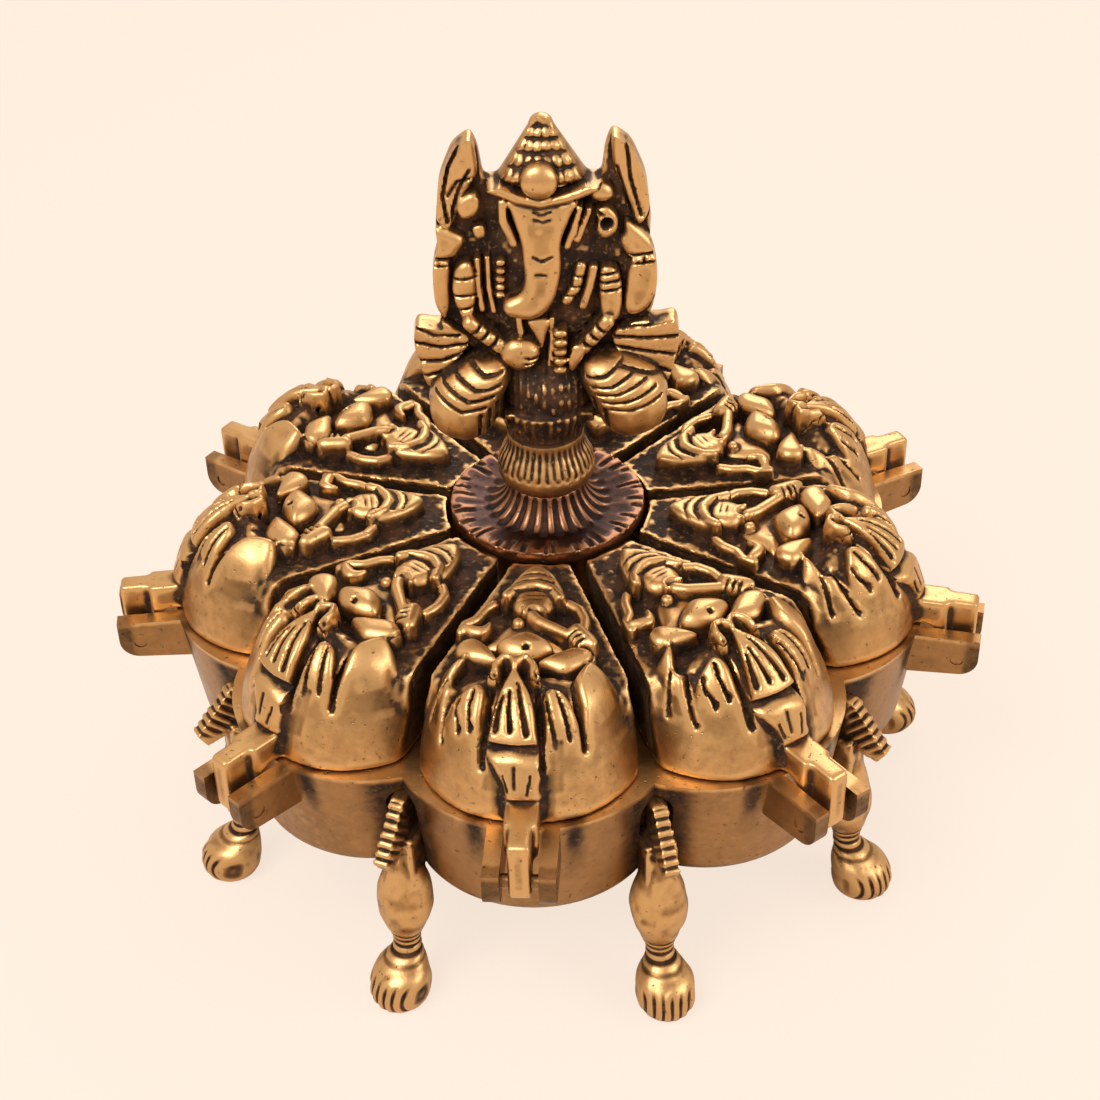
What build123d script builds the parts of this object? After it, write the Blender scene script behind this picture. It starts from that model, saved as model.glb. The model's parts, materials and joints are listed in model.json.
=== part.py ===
from build123d import *

import math
import os

"""Nine-lidded brass sindoor box with an elephant-headed figure on top.

Nine petal-shaped wells are cast round a hub in one tray. Each well has a domed lid that
hinges at its outer end between two ears of the tray. Nine cast legs stand in the grooves
between the petals. A post through the hub carries the fluted retaining disc and the finial.

Frame: millimetres, +Z up, origin on the box's axis at the floor, the finial faces -Y.
A petal, a lid or a leg is drawn pointing along +X: x is out from the axis, y is across.
"""

# How many petals there are, and where the first one points
lid_count = 9
first_lid_angle = -90.0

# The tray
deck_height = 43.5
tray_depth = 21.0
petal_centre_radius = 41.5
petal_rim_radius = 23.0
petal_base_radius = 20.6
petal_base_rounding = 3.0
tray_floor = 2.6
well_draft = 6.5
hub_core_radius = 44.0

# The lids
lid_gap = 2.6
lid_ledge = 1.0
lid_corner_radius = 9.0
lid_wall = 1.6
lid_seat_gap = 0.2
lid_roof = 2.4
lid_edge_height = 55.8
lid_field_height = 57.4
lid_field_inset = 0.7
dome_centre_radius = 46.0
dome_top_height = 63.2
dome_base_radius = 18.2
dome_start = 46.2
dome_lean = 3.0
dome_tuck = 1.5
skirt_lift = 0.7
panel_foot_height = 55.2
lobe_foot_height = 56.0
tip_gap = 0.8

# The three-knuckle hinges
hinge_radius = 71.0
hinge_height = 39.4
pin_radius = 1.1
pin_length = 10.6
pin_press_gap = 0.01
pin_running_gap = 0.06
ear_thickness = 2.6
ear_gap = 5.8
ear_end_radius = 74.5
ear_depth = 7.1
ear_corner_radius = 3.4
knuckle_radius = 2.5
knuckle_width = 3.4
tongue_width = 5.2
tongue_step_radius = 68.5
tongue_top_height = 48.5
tongue_rim_gap = 0.9

# The legs
leg_seat_radius = 55.2
leg_slot_width = 5.4
leg_slot_gap = 0.1
leg_top_height = 40.4
leg_tray_gap = 0.25
leg_peg_radius = 1.2
leg_peg_length = 4.0
leg_peg_height = 34.0
leg_neck_width = 5.2
calf_height = 19.0
calf_width = 9.4
calf_depth = 8.0
ankle_height = 10.4
ankle_width = 4.4
foot_height = 4.2
foot_width = 10.0
foot_length = 10.4
foot_centre_radius = 63.2
spur_width = 2.6
spur_tip_radius = 66.2
spur_tip_height = 32.6

# The post, the disc and the finial
post_radius = 9.0
post_shank_radius = 4.0
stud_radius = 3.0
stud_length = 14.0
nut_across_flats = 13.0
nut_thickness = 3.6
post_hole_gap = 0.05
disc_radius = 16.45
disc_thickness = 2.3
disc_underside = 56.7
disc_bore_gap = 0.15
disc_dish_depth = 0.8
disc_cone_radius = 8.8
disc_neck_radius = 6.2
disc_neck_height = 62.8
finial_turn = 4.0
finial_seat_gap = 0.05
foot_ring_radius = 8.2
foot_ring_height = 65.9
neck_radius = 6.3
neck_height = 72.6
seat_height = 79.0
figure_top_height = 129.0
figure_depth = 7.0
figure_shift = 0.6

# Values worked out from those above
sector = 360.0 / lid_count
half_sector = math.radians(sector / 2)
tray_base = deck_height - tray_depth
well_floor = tray_base + tray_floor
lid_base = deck_height + lid_seat_gap
lid_plan_radius = petal_rim_radius - lid_ledge
lid_front = petal_centre_radius + lid_plan_radius
lid_tip_radius = disc_radius + tip_gap
disc_top = disc_underside + disc_thickness
finial_base = disc_neck_height + finial_seat_gap
stud_top = disc_underside + stud_length
lid_angles = [first_lid_angle + sector * k for k in range(lid_count)]
leg_angles = [angle + sector / 2 for angle in lid_angles]

UP = (Align.CENTER, Align.CENTER, Align.MIN)
OUT = (Align.MIN, Align.CENTER, Align.MIN)


def drawn_upright(edges):
    """The face inside edges that are drawn in (radius, height)."""
    return Plane.XZ * make_face(edges)


def turned(edges):
    """The solid that such a face sweeps once round Z."""
    return revolve(drawn_upright(edges), Axis.Z)


def plate(edges, width):
    """Such a face made `width` thick across the radial plane."""
    return extrude(drawn_upright(edges), width / 2, both=True)


def petal(inset, tip):
    """A petal's plan, `inset` inside the lid's outer wall, from the radius `tip` outwards."""
    slope = math.tan(half_sector)
    edge = (lid_gap / 2 + inset) / math.cos(half_sector)
    reach = petal_centre_radius + petal_rim_radius
    wide = reach * slope - edge
    wedge = Polygon((edge / slope, 0), (reach, -wide), (reach, wide), align=None)
    outer = Pos(petal_centre_radius, 0) * Circle(lid_plan_radius - inset)
    inner = Pos(petal_centre_radius / 2, 0) * Rectangle(petal_centre_radius, 2 * reach)
    plan = wedge & (outer + inner)
    corners = [v for v in plan.vertices() if v.X > petal_centre_radius]
    return fillet(corners, lid_corner_radius) - Circle(tip + inset)


def petal_block(inset, low, high, taper=0):
    """A petal's plan raised from the height `low` to the height `high`."""
    plan = Plane.XY.offset(low) * petal(inset, lid_tip_radius)
    return extrude(plan, high - low, dir=(0, 0, 1), taper=taper)


def make_lobe():
    """One petal of the tray, solid: a cup that tapers to a rounded foot."""
    low, bend = tray_base, petal_base_rounding
    base = petal_base_radius
    floor_line = Line((0, low), (base - bend, low))
    corner = RadiusArc(floor_line @ 1, (base, low + bend), -bend)
    rest = Polyline(corner @ 1, (petal_rim_radius, deck_height), (0, deck_height), (0, low))
    return turned(floor_line + corner + rest)


def make_well():
    """The space inside one well, narrower at its floor by its casting draft."""
    plan = Plane.XY.offset(deck_height) * petal(lid_wall, lid_tip_radius)
    return extrude(plan, deck_height - well_floor, dir=(0, 0, -1), taper=well_draft)


def make_ear(side):
    """One hinge ear of the tray, on the side given as +1 or -1."""
    bottom = deck_height - ear_depth
    root = lid_front - lid_wall + 0.9
    corner_start = (ear_end_radius, bottom + ear_corner_radius)
    corner_end = (ear_end_radius - ear_corner_radius, bottom)
    edges = Polyline(
        corner_end, (root, bottom - 0.6), (root, deck_height), (ear_end_radius, deck_height), corner_start
    ) + RadiusArc(corner_start, corner_end, ear_corner_radius)
    return Pos(0, side * (ear_gap + ear_thickness) / 2, 0) * plate(edges, ear_thickness)


def pin_space(gap, length):
    """A cylinder on the hinge axis, `gap` larger in radius than the pin."""
    return Pos(hinge_radius, 0, hinge_height) * Rot(90, 0, 0) * Cylinder(pin_radius + gap, length)


def peg_space(gap):
    """The peg that points inwards from a leg's back, or its hole when `gap` is above 0."""
    peg = Cylinder(leg_peg_radius + gap, leg_peg_length + gap, align=UP)
    return Pos(leg_seat_radius, 0, leg_peg_height) * Rot(0, -90, 0) * peg


def slot_block(gap):
    """The round-topped block that fills a leg's slot but for `gap` at its sides and top."""
    half = leg_slot_width / 2 - gap
    middle = leg_top_height + leg_slot_gap - leg_slot_width / 2
    low = tray_base - 1
    shaft = Box(petal_rim_radius, 2 * half, middle - low, align=OUT)
    head = Rot(0, 90, 0) * Cylinder(half, petal_rim_radius, align=UP)
    return Pos(leg_seat_radius, 0, low) * shaft + Pos(leg_seat_radius, 0, middle) * head


def make_tray():
    """The cast tray: nine petals round a hub, with wells, hinge ears and leg seats."""
    lobe = Pos(petal_centre_radius, 0, 0) * make_lobe()
    ears = make_ear(1) + make_ear(-1)
    tray = Pos(0, 0, tray_base) * Cylinder(hub_core_radius, tray_depth, align=UP)
    for angle in lid_angles:
        tray += Rot(0, 0, angle) * lobe
        tray += Rot(0, 0, angle) * ears
    well = make_well()
    bore = pin_space(pin_press_gap, ear_gap + 3 * ear_thickness)
    for angle in lid_angles:
        tray -= Rot(0, 0, angle) * well
        tray -= Rot(0, 0, angle) * bore
    seat = slot_block(0) + peg_space(leg_slot_gap)
    for angle in leg_angles:
        tray -= Rot(0, 0, angle) * seat
    shank = Cylinder(post_shank_radius + post_hole_gap, tray_depth, align=UP)
    return tray - Pos(0, 0, tray_base) * shank


def dome(grow):
    """The domed outer end of a lid, `grow` larger all round."""
    r = dome_base_radius + grow
    top = dome_top_height + grow
    low = lid_base - dome_tuck
    curve = Spline(
        (r, low), (0.835 * r, top - 9.7), (0.55 * r, top - 2.4), (0, top), tangents=((-0.1, 1), (-1, 0))
    )
    edges = curve + Polyline(curve @ 1, (0, low), (r, low))
    return Pos(dome_centre_radius, 0, 0) * turned(edges)


def outer_part(start):
    """Everything outside a wall at the radius `start` that leans outwards over the field."""
    low, high = lid_base - 2, dome_top_height + 2
    far = hinge_radius + knuckle_radius
    edges = Polyline(
        (start, low), (far, low), (far, high), (start + dome_lean, high), (start, lid_field_height),
        (start, low),
    )
    return plate(edges, 3 * petal_rim_radius)


def oval(at, size, turn=0):
    """An ellipsoid by its centre, its three half sizes and its turn about the vertical."""
    return Pos(*at) * Rot(0, 0, turn) * scale(Sphere(1), by=size)


def swelling(outline, lift, low):
    """What lies inside an outline in plan and above `low` on the dome, raised by `lift`."""
    column = extrude(Plane.XY.offset(low) * outline, dome_top_height, dir=(0, 0, 1))
    return dome(lift) & column


def make_relief():
    """The lid's seated figure, its crown towards the box's axis and its skirt over the dome."""
    seat = lid_field_height
    crown = oval((24.6, 0, seat), (5.2, 4.1, 2.6)) + oval((28.3, 0, seat), (1.3, 5.0, 2.7))
    face = oval((31.0, -0.2, seat), (3.4, 3.2, 3.1))
    trunk = oval((37.2, 2.6, seat + 0.4), (3.4, 1.2, 2.0), turn=52)
    chest = oval((36.6, -0.4, seat - 0.4), (4.2, 6.6, 1.9))
    belly = oval((41.9, -0.7, seat), (3.3, 4.7, 4.6))
    upper_hands = oval((34.6, -8.2, seat), (4.0, 2.2, 1.9), turn=-24) + oval(
        (32.6, 7.0, seat), (3.4, 1.6, 1.7), turn=14
    )
    palm = oval((39.2, 8.5, seat), (2.7, 2.6, 3.2))
    thighs = oval((43.4, -8.2, seat), (2.2, 4.3, 3.1), turn=24) + oval(
        (44.5, 5.8, seat), (2.5, 4.6, 3.3), turn=-20
    )
    knot = oval((48.9, -1.7, seat + 1.6), (1.9, 3.4, 4.4))
    return crown + face + trunk + chest + belly + upper_hands + palm + thighs + knot


def make_skirt():
    """The pleated panel, the two lobes and the two leaves that hang over the lid's dome."""
    panel = Polygon((49.4, -3.2), (60.4, -5.4), (60.3, 2.1), (49.4, 0.1), align=None)
    skirt = swelling(panel, skirt_lift, panel_foot_height)
    for at, size, turn in (
        ((56.2, -8.2), (4.6, 2.6), -14),
        ((57.0, 5.2), (4.4, 2.5), 16),
        ((49.0, -12.4), (5.4, 1.9), -22),
        ((50.2, 10.8), (5.0, 2.2), 24),
    ):
        skirt += swelling(Pos(*at) * Rot(0, 0, turn) * Ellipse(*size), skirt_lift, lobe_foot_height)
    root = panel_foot_height - 0.4
    tail = Polyline(
        (dome_centre_radius, root), (61.6, root), (64.4, tongue_top_height + 1.0),
        (64.4, tongue_top_height), (dome_centre_radius, tongue_top_height), (dome_centre_radius, root),
    )
    return skirt + plate(tail, tongue_width)


def make_tongue():
    """The lid's hinge tongue: wide over the rim, stepped narrow, then down to the pin."""
    low = lid_base + 0.1
    root = lid_front - lid_wall + 0.6
    front = hinge_radius + knuckle_radius
    back = hinge_radius - knuckle_radius
    rim_end = petal_centre_radius + petal_rim_radius + tongue_rim_gap
    wide = Polyline(
        (root, low), (rim_end, low), (tongue_step_radius, low - 2.4),
        (tongue_step_radius, tongue_top_height), (root, tongue_top_height), (root, low),
    )
    narrow = Polyline(
        (root, low), (rim_end, low), (back, hinge_height + knuckle_radius / 2), (back, hinge_height),
        (front, hinge_height), (front, tongue_top_height - 0.5), (front - 0.5, tongue_top_height),
        (root, tongue_top_height), (root, low),
    )
    knuckle = Pos(hinge_radius, 0, hinge_height) * Rot(90, 0, 0) * Cylinder(knuckle_radius, knuckle_width)
    return plate(wide, tongue_width) + plate(narrow, knuckle_width) + knuckle


def make_lid():
    """One hollow domed lid with its raised figure and its hinge tongue."""
    edge = petal_block(0, lid_base, lid_edge_height)
    field = petal_block(lid_field_inset, lid_base, lid_field_height)
    wall = petal_block(0, lid_base, dome_top_height + skirt_lift)
    end = (dome(0) + make_skirt()) & outer_part(dome_start) & wall
    lid = (edge + field) - outer_part(dome_start) + end + make_relief()
    low = lid_base - dome_tuck
    hollow = petal_block(lid_wall, low, lid_field_height - lid_roof) - outer_part(dome_start)
    inner_wall = petal_block(lid_wall, low, dome_top_height)
    hollow += dome(-lid_wall) & inner_wall & outer_part(dome_start)
    roof = Pos(0, 0, lid_field_height - lid_roof) * Box(
        2 * (dome_start + lid_wall), 2 * petal_rim_radius, dome_top_height, align=UP
    )
    lid -= hollow - roof
    return lid + make_tongue() - pin_space(pin_running_gap, tongue_width)


def make_pin():
    """One plain hinge pin, a little shorter than the hinge is wide."""
    return pin_space(0, pin_length)


def ring_section(height, centre, length, width):
    """An oval section of a leg at one height, `length` out and `width` across."""
    return Plane.XY.offset(height) * Pos(centre, 0) * Ellipse(length / 2, width / 2)


def make_leg():
    """One cast leg: a spur above, a swelling calf, an ankle and a rounded flat-soled foot."""
    shin_radius = leg_seat_radius + 3.6
    shank = loft(
        [
            ring_section(ankle_height, shin_radius + 1.0, ankle_width, ankle_width),
            ring_section((ankle_height + calf_height) / 2, shin_radius + 1.1, calf_depth * 0.8, calf_width * 0.76),
            ring_section(calf_height, shin_radius + 0.6, calf_depth, calf_width),
            ring_section(calf_height + 6, shin_radius, calf_depth * 0.82, calf_width * 0.74),
            ring_section(calf_height + 12, shin_radius - 0.6, calf_depth * 0.7, leg_neck_width),
        ]
    )
    foot = loft(
        [
            ring_section(0, foot_centre_radius, foot_length * 0.72, foot_width * 0.7),
            ring_section(1.6, foot_centre_radius + 0.2, foot_length * 0.96, foot_width * 0.94),
            ring_section(foot_height, foot_centre_radius, foot_length, foot_width),
            ring_section(foot_height + 3.2, foot_centre_radius - 1.6, foot_length * 0.72, foot_width * 0.74),
            ring_section(ankle_height, shin_radius + 1.0, ankle_width, ankle_width),
        ]
    )
    neck_top = calf_height + 12
    neck = Pos(leg_seat_radius, 0, neck_top - 6) * Box(5.6, leg_neck_width, 8, align=OUT)
    head = Polyline(
        (leg_seat_radius, leg_top_height), (leg_seat_radius + 4.4, leg_top_height),
        (spur_tip_radius, spur_tip_height), (spur_tip_radius - 1.6, spur_tip_height - 2.4),
        (leg_seat_radius + 5.4, spur_tip_height - 1.2), (leg_seat_radius + 4.2, neck_top - 6),
        (leg_seat_radius, neck_top - 6), (leg_seat_radius, leg_top_height),
    )
    leg = shank + foot + neck + plate(head, spur_width)
    back = Pos(leg_seat_radius - 20, 0, 0) * Box(20, 20, 60, align=OUT)
    seated = leg & slot_block(leg_slot_gap)
    for side in (-1, 1):
        lobe = Rot(0, 0, side * sector / 2) * Pos(petal_centre_radius, 0, 0) * make_lobe()
        leg -= lobe
    return leg - back + (seated - back) + peg_space(0)


def make_post():
    """The turned post: a shank through the hub, a collar under the disc and a stud above."""
    shank_length = deck_height - tray_base + nut_thickness + 1
    post = Pos(0, 0, deck_height - shank_length) * Cylinder(post_shank_radius, shank_length, align=UP)
    post += Pos(0, 0, deck_height) * Cylinder(post_radius, disc_underside - deck_height, align=UP)
    return post + Pos(0, 0, disc_underside) * Cylinder(stud_radius, stud_length, align=UP)


def make_nut():
    """The nut that draws the post down on the hub, under the tray."""
    flats = Plane.XY.offset(tray_base - nut_thickness) * RegularPolygon(
        nut_across_flats / 2, 6, major_radius=False
    )
    bore = Cylinder(post_shank_radius + post_hole_gap, 2 * tray_base, align=UP)
    return extrude(flats, nut_thickness, dir=(0, 0, 1)) - bore


def make_disc():
    """The dished disc over the lids' tips, rising to a cone under the finial."""
    low, rim = disc_underside, disc_radius
    dish = disc_top - disc_dish_depth
    line = Polyline(
        (0, low), (rim, low), (rim, disc_top), (rim - 1.6, disc_top), (disc_cone_radius + 1.6, dish),
    )
    cone = Spline(
        line @ 1, (disc_cone_radius, dish + 0.5), (disc_neck_radius, disc_neck_height),
        tangents=((-1, -0.1), (-0.25, 1)),
    )
    disc = turned(line + cone + Polyline(cone @ 1, (0, disc_neck_height), (0, low)))
    return disc - Pos(0, 0, low - 1) * Cylinder(stud_radius + disc_bore_gap, stud_length, align=UP)


def silhouette(points, depth):
    """A flat cast web behind the figure, from its outline in (x, z)."""
    edges = Polyline(*points, points[0])
    return extrude(drawn_upright(edges), depth / 2, both=True)


def make_foot():
    """The finial's turned foot: a ring, a fluted neck and the lotus seat."""
    ring = Spline(
        (neck_radius - 0.4, finial_base), (foot_ring_radius, foot_ring_height),
        (neck_radius + 0.6, neck_height - 2.6), (neck_radius, neck_height),
        tangents=((1, 0.5), (-0.1, 1)),
    )
    seat = Spline(
        ring @ 1, (neck_radius + 0.8, (neck_height + seat_height) / 2), (neck_radius + 1.8, seat_height),
        tangents=((0.05, 1), (0.3, 1)),
    )
    start = Line((0, finial_base), ring @ 0)
    return turned(start + ring + seat + Polyline(seat @ 1, (0, seat_height), (0, finial_base)))


def make_figure():
    """The seated elephant-headed figure: knees, body, arms, head, crown and scarf ends."""
    top = figure_top_height
    crown = Pos(0, 0, top - 11) * Cone(7.6, 1.4, 10.2, align=UP) + oval((0, 0, top - 1.6), (1.9, 1.9, 1.6))
    head = oval((0, -1.0, top - 17.5), (6.2, 5.2, 8.0))
    body = oval((0, -0.5, 93), (9.5, 5.6, 12)) + oval((0, -2.2, 84.5), (8.2, 5.0, 7.6))
    figure = crown + head + body
    for side in (-1, 1):
        figure += oval((side * 12.9, -3.4, 79.4), (5.6, 5.4, 5.9))
        figure += oval((side * 8.0, -1.0, 80.2), (6.0, 5.2, 4.6))
        figure += oval((side * 14.6, -0.4, 101.5), (3.2, 3.2, 8.4))
        figure += oval((side * 8.6, -3.2, 95.5), (2.8, 2.8, 6.6))
        leaf = silhouette(
            [
                (side * 9.0, 119.4), (side * 9.5, 124.0), (side * 10.6, top - 2), (side * 13.6, top - 4.2),
                (side * 15.8, top - 9.4), (side * 16.6, 112), (side * 16.2, 103), (side * 9.0, 103),
            ],
            figure_depth * 0.55,
        )
        scarf = silhouette(
            [
                (side * 9.0, 97.6), (side * 16.0, 93.6), (side * 20.9, 95.2), (side * 21.4, 91.0),
                (side * 19.9, 84.0), (side * 17.8, 79.0), (side * 9.0, 79.0),
            ],
            figure_depth * 0.55,
        )
        figure += leaf + scarf
    outline = [(-8.4, 119.0), (8.4, 119.0), (13.0, 104), (13.0, 80), (-13.0, 80), (-13.0, 104)]
    web = silhouette(outline, figure_depth * 0.5)
    return Pos(figure_shift, 0, 0) * (figure + web)


def make_finial():
    """The finial: foot and figure in one casting, bored for the stud."""
    bore = Cylinder(stud_radius + disc_bore_gap, stud_top + 0.5, align=UP)
    return Rot(0, 0, finial_turn) * (make_foot() + make_figure() - bore)


def export(node, shape):
    """Writes one sub-part under its node's name."""
    shape.label = node
    export_step(shape, f"parts/{node}.step")


if __name__ == "__main__":
    os.makedirs("parts", exist_ok=True)
    export("tray", make_tray())
    lid, pin, leg = make_lid(), make_pin(), make_leg()
    for number, angle in enumerate(lid_angles, 1):
        export(f"lid_{number}", Rot(0, 0, angle) * lid)
        export(f"hinge_pin_{number}", Rot(0, 0, angle) * pin)
    for number, angle in enumerate(leg_angles, 1):
        export(f"leg_{number}", Rot(0, 0, angle) * leg)
    export("centre_post", make_post())
    export("post_nut", make_nut())
    export("retaining_disc", make_disc())
    export("figure_finial", make_finial())
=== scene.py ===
"""Dresses the frame of a nine-lidded brass sindoor box: castings, patina, stage and camera.

Every casting starts as a copy of its solid in the frame. It is remeshed as one skin, its relief is
drawn on that skin, and each point then learns how deep it lies in a hollow, which is where the
brass keeps its dark patina. Lengths here are millimetres.
"""

import json
import math

import bpy
import numpy as np
from bpy.props import FloatProperty, FloatVectorProperty, PointerProperty
from bpy.types import Operator, Panel, PropertyGroup
from mathutils import Matrix, Vector


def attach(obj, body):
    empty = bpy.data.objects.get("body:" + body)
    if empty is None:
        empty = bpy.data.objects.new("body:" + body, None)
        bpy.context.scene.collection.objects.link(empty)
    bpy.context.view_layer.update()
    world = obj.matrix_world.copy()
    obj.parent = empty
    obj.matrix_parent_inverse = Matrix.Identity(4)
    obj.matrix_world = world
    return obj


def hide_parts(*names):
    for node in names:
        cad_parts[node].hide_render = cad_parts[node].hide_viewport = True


bl_info = {
    "name": "Brass Sindoor Box",
    "version": (1, 0, 0),
    "blender": (4, 5, 0),
    "location": "View3D > Sidebar > Sindoor Box",
    "description": "Dresses the frame of a nine-lidded cast brass box",
    "category": "Object",
}

MM = 0.001
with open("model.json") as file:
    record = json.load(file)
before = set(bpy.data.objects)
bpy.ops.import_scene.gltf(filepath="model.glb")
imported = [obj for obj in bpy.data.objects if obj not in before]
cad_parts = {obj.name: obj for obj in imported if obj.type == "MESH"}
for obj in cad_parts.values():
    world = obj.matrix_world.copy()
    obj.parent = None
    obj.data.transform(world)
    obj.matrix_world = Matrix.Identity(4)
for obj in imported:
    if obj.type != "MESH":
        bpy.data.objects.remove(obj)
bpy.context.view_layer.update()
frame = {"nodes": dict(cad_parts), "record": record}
joints = frame["record"]["behaviour"]["joints"]
lid_count = sum(joint["name"].startswith("lid_") for joint in joints)
sector = 2 * math.pi / lid_count


def skin_size(name, default):
    return FloatProperty(name=name, default=default, min=0.2, max=1.0, description="Skin size in mm")


def tint(name, default, description):
    return FloatVectorProperty(
        name=name, subtype="COLOR", default=default, min=0, max=1, description=description
    )


class CastingSizes(PropertyGroup):
    """How finely the castings are skinned."""

    lid_voxel: skin_size("Lid voxel", 0.34)
    leg_voxel: skin_size("Leg voxel", 0.27)
    disc_voxel: skin_size("Disc voxel", 0.25)
    figure_voxel: skin_size("Figure voxel", 0.31)


class BrassColours(PropertyGroup):
    """The colours of polished brass, of its plain walls and of the patina in its hollows."""

    polished: tint("Polished", (0.60, 0.365, 0.155), "High spots")
    ground: tint("Ground", (0.235, 0.118, 0.045), "Plain walls")
    patina: tint("Patina", (0.016, 0.009, 0.007), "Hollows")
    umber: tint("Umber", (0.065, 0.028, 0.014), "Thin patina")
    copper: tint("Copper", (0.33, 0.155, 0.078), "Disc's worn rim")
    disc_ground: tint("Disc", (0.062, 0.029, 0.022), "Disc's plain faces")


class StageSettings(PropertyGroup):
    """The backdrop's colour and where the camera stands."""

    backdrop: tint("Backdrop", (1.0, 0.862, 0.740), "Warm cream")
    azimuth: FloatProperty(name="Azimuth", default=4.45, description="Camera's turn, degrees")
    elevation: FloatProperty(name="Elevation", default=36.81, description="Camera's height, degrees")
    roll: FloatProperty(name="Roll", default=-1.6, description="Camera's tilt, degrees")
    lens: FloatProperty(name="Lens", default=66.8, description="Focal length in mm on a 36 mm sensor")
    eye: FloatVectorProperty(name="Eye", default=(22.16, -282.356, 259.379), description="Place in mm")


# Modelling helpers

WELD = 0.002
HOLLOW_SCALES = ((4, 0.05), (16, 0.16), (50, 0.4))
SMOOTH_ANGLE = math.radians(40)


def deselect():
    bpy.ops.object.select_all(action="DESELECT")


def choose(*pieces):
    """Selects these pieces alone and makes the first one active."""
    deselect()
    for piece in pieces:
        piece.select_set(True)
    bpy.context.view_layer.objects.active = pieces[0]


def settle(piece):
    """Writes the piece's place into its mesh."""
    choose(piece)
    bpy.ops.object.transform_apply(location=True, rotation=True, scale=True)
    return piece


def ball(at, size, turn):
    """A rounded form by its centre, its half sizes and its turn about the upright, in radians."""
    deselect()
    bpy.ops.mesh.primitive_uv_sphere_add(
        segments=24, ring_count=12, radius=1,
        location=at * MM, rotation=(0, 0, turn), scale=Vector(size) * MM,
    )
    return settle(bpy.context.object)


def copy_solid(name, node):
    """A copy of a solid of the frame as a piece of its own, with its doubled points welded."""
    solid = frame["nodes"][node]
    piece = solid.copy()
    piece.data = solid.data.copy()
    bpy.context.collection.objects.link(piece)
    piece.parent = None
    piece.matrix_world = Matrix()
    for key in list(piece.keys()):
        del piece[key]
    choose(piece)
    piece.name = name
    piece.data.name = name
    piece.data.materials.clear()
    bpy.ops.object.mode_set(mode="EDIT")
    bpy.ops.mesh.select_all(action="SELECT")
    bpy.ops.mesh.remove_doubles(threshold=WELD * MM)
    bpy.ops.object.mode_set(mode="OBJECT")
    return piece


def fuse(piece, voxel, forms=()):
    """Joins forms to a piece and skins the whole as one closed surface."""
    choose(piece, *forms)
    if forms:
        bpy.ops.object.join()
    remesh = piece.modifiers.new("skin", "REMESH")
    remesh.mode = "VOXEL"
    remesh.voxel_size = voxel * MM
    bpy.ops.object.modifier_apply(modifier=remesh.name)


def read(piece):
    """The piece's points in mm and their normals."""
    mesh = piece.data
    points = np.empty(len(mesh.vertices) * 3, np.float32)
    mesh.vertices.foreach_get("co", points)
    normals = np.empty(len(mesh.vertices) * 3, np.float32)
    mesh.vertex_normals.foreach_get("vector", normals)
    return points.reshape(-1, 3) / MM, normals.reshape(-1, 3)


def write(piece, points):
    piece.data.vertices.foreach_set("co", (points * MM).astype(np.float32).ravel())
    piece.data.update()


def neighbours(piece):
    """The two ends of every edge, for averaging over a piece's skin."""
    edges = np.empty(len(piece.data.edges) * 2, np.int64)
    piece.data.edges.foreach_get("vertices", edges)
    return edges.reshape(-1, 2)


def averaged(values, edges, rounds):
    """Values at the points, averaged with their neighbours so many times."""
    count = np.bincount(edges.ravel(), minlength=len(values))[:, None]
    values = np.array(values, np.float64).reshape(len(values), -1)
    for _ in range(rounds):
        total = np.empty_like(values)
        for axis in range(values.shape[1]):
            ends = np.concatenate([edges[:, 0], edges[:, 1]])
            other = np.concatenate([values[edges[:, 1], axis], values[edges[:, 0], axis]])
            total[:, axis] = np.bincount(ends, weights=other, minlength=len(values))
        values = 0.5 * values + 0.5 * total / np.maximum(count, 1)
    return values


def relax(piece, rounds):
    """Smooths the steps that skinning leaves."""
    points, _ = read(piece)
    write(piece, averaged(points, neighbours(piece), rounds))


def mark_hollows(piece, patina):
    """Stores how deep each point lies below its surroundings, from -1 on ridges to 1 in hollows.

    `patina` is what a drawing says lies dark, from 0 to 1. Each of HOLLOW_SCALES has the rounds of
    smoothing that give the surroundings, and the depth in mm that counts in full.
    """
    points, normals = read(piece)
    edges = neighbours(piece)
    smooth = points
    depth = np.zeros(len(points))
    done = 0
    for rounds, full_depth in HOLLOW_SCALES:
        smooth = averaged(smooth, edges, rounds - done)
        done = rounds
        depth += np.clip(((smooth - points) * normals).sum(1) / full_depth, -1, 1)
    depth = averaged(depth / len(HOLLOW_SCALES) + patina, edges, 1).ravel()
    store = piece.data.attributes.new("hollow", "FLOAT", "POINT")
    store.data.foreach_set("value", np.clip(depth, -1, 1).astype(np.float32))


def paint(piece, material):
    piece.data.materials.clear()
    piece.data.materials.append(material)


def finish_piece(piece, body, material, node):
    """Gives a piece its material and lets it ride on a body in place of its solid."""
    paint(piece, material)
    choose(piece)
    bpy.ops.object.shade_smooth_by_angle(angle=SMOOTH_ANGLE)
    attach(piece, body)
    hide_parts(node)


def turned_copy(piece, name, angle):
    """A copy of a piece with its own mesh, turned about the box's axis."""
    copy = piece.copy()
    copy.data = piece.data.copy()
    copy.name = name
    copy.data.name = name
    bpy.context.collection.objects.link(copy)
    copy.matrix_world = Matrix.Rotation(angle, 4, "Z")
    return settle(copy)


def ring_of(first, name):
    """The first piece and its copies, one in each sector, numbered from 1."""
    copies = [turned_copy(first, f"{name}_{k + 1}", k * sector) for k in range(1, lid_count)]
    return enumerate([first, *copies], 1)


# Shader helpers


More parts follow.
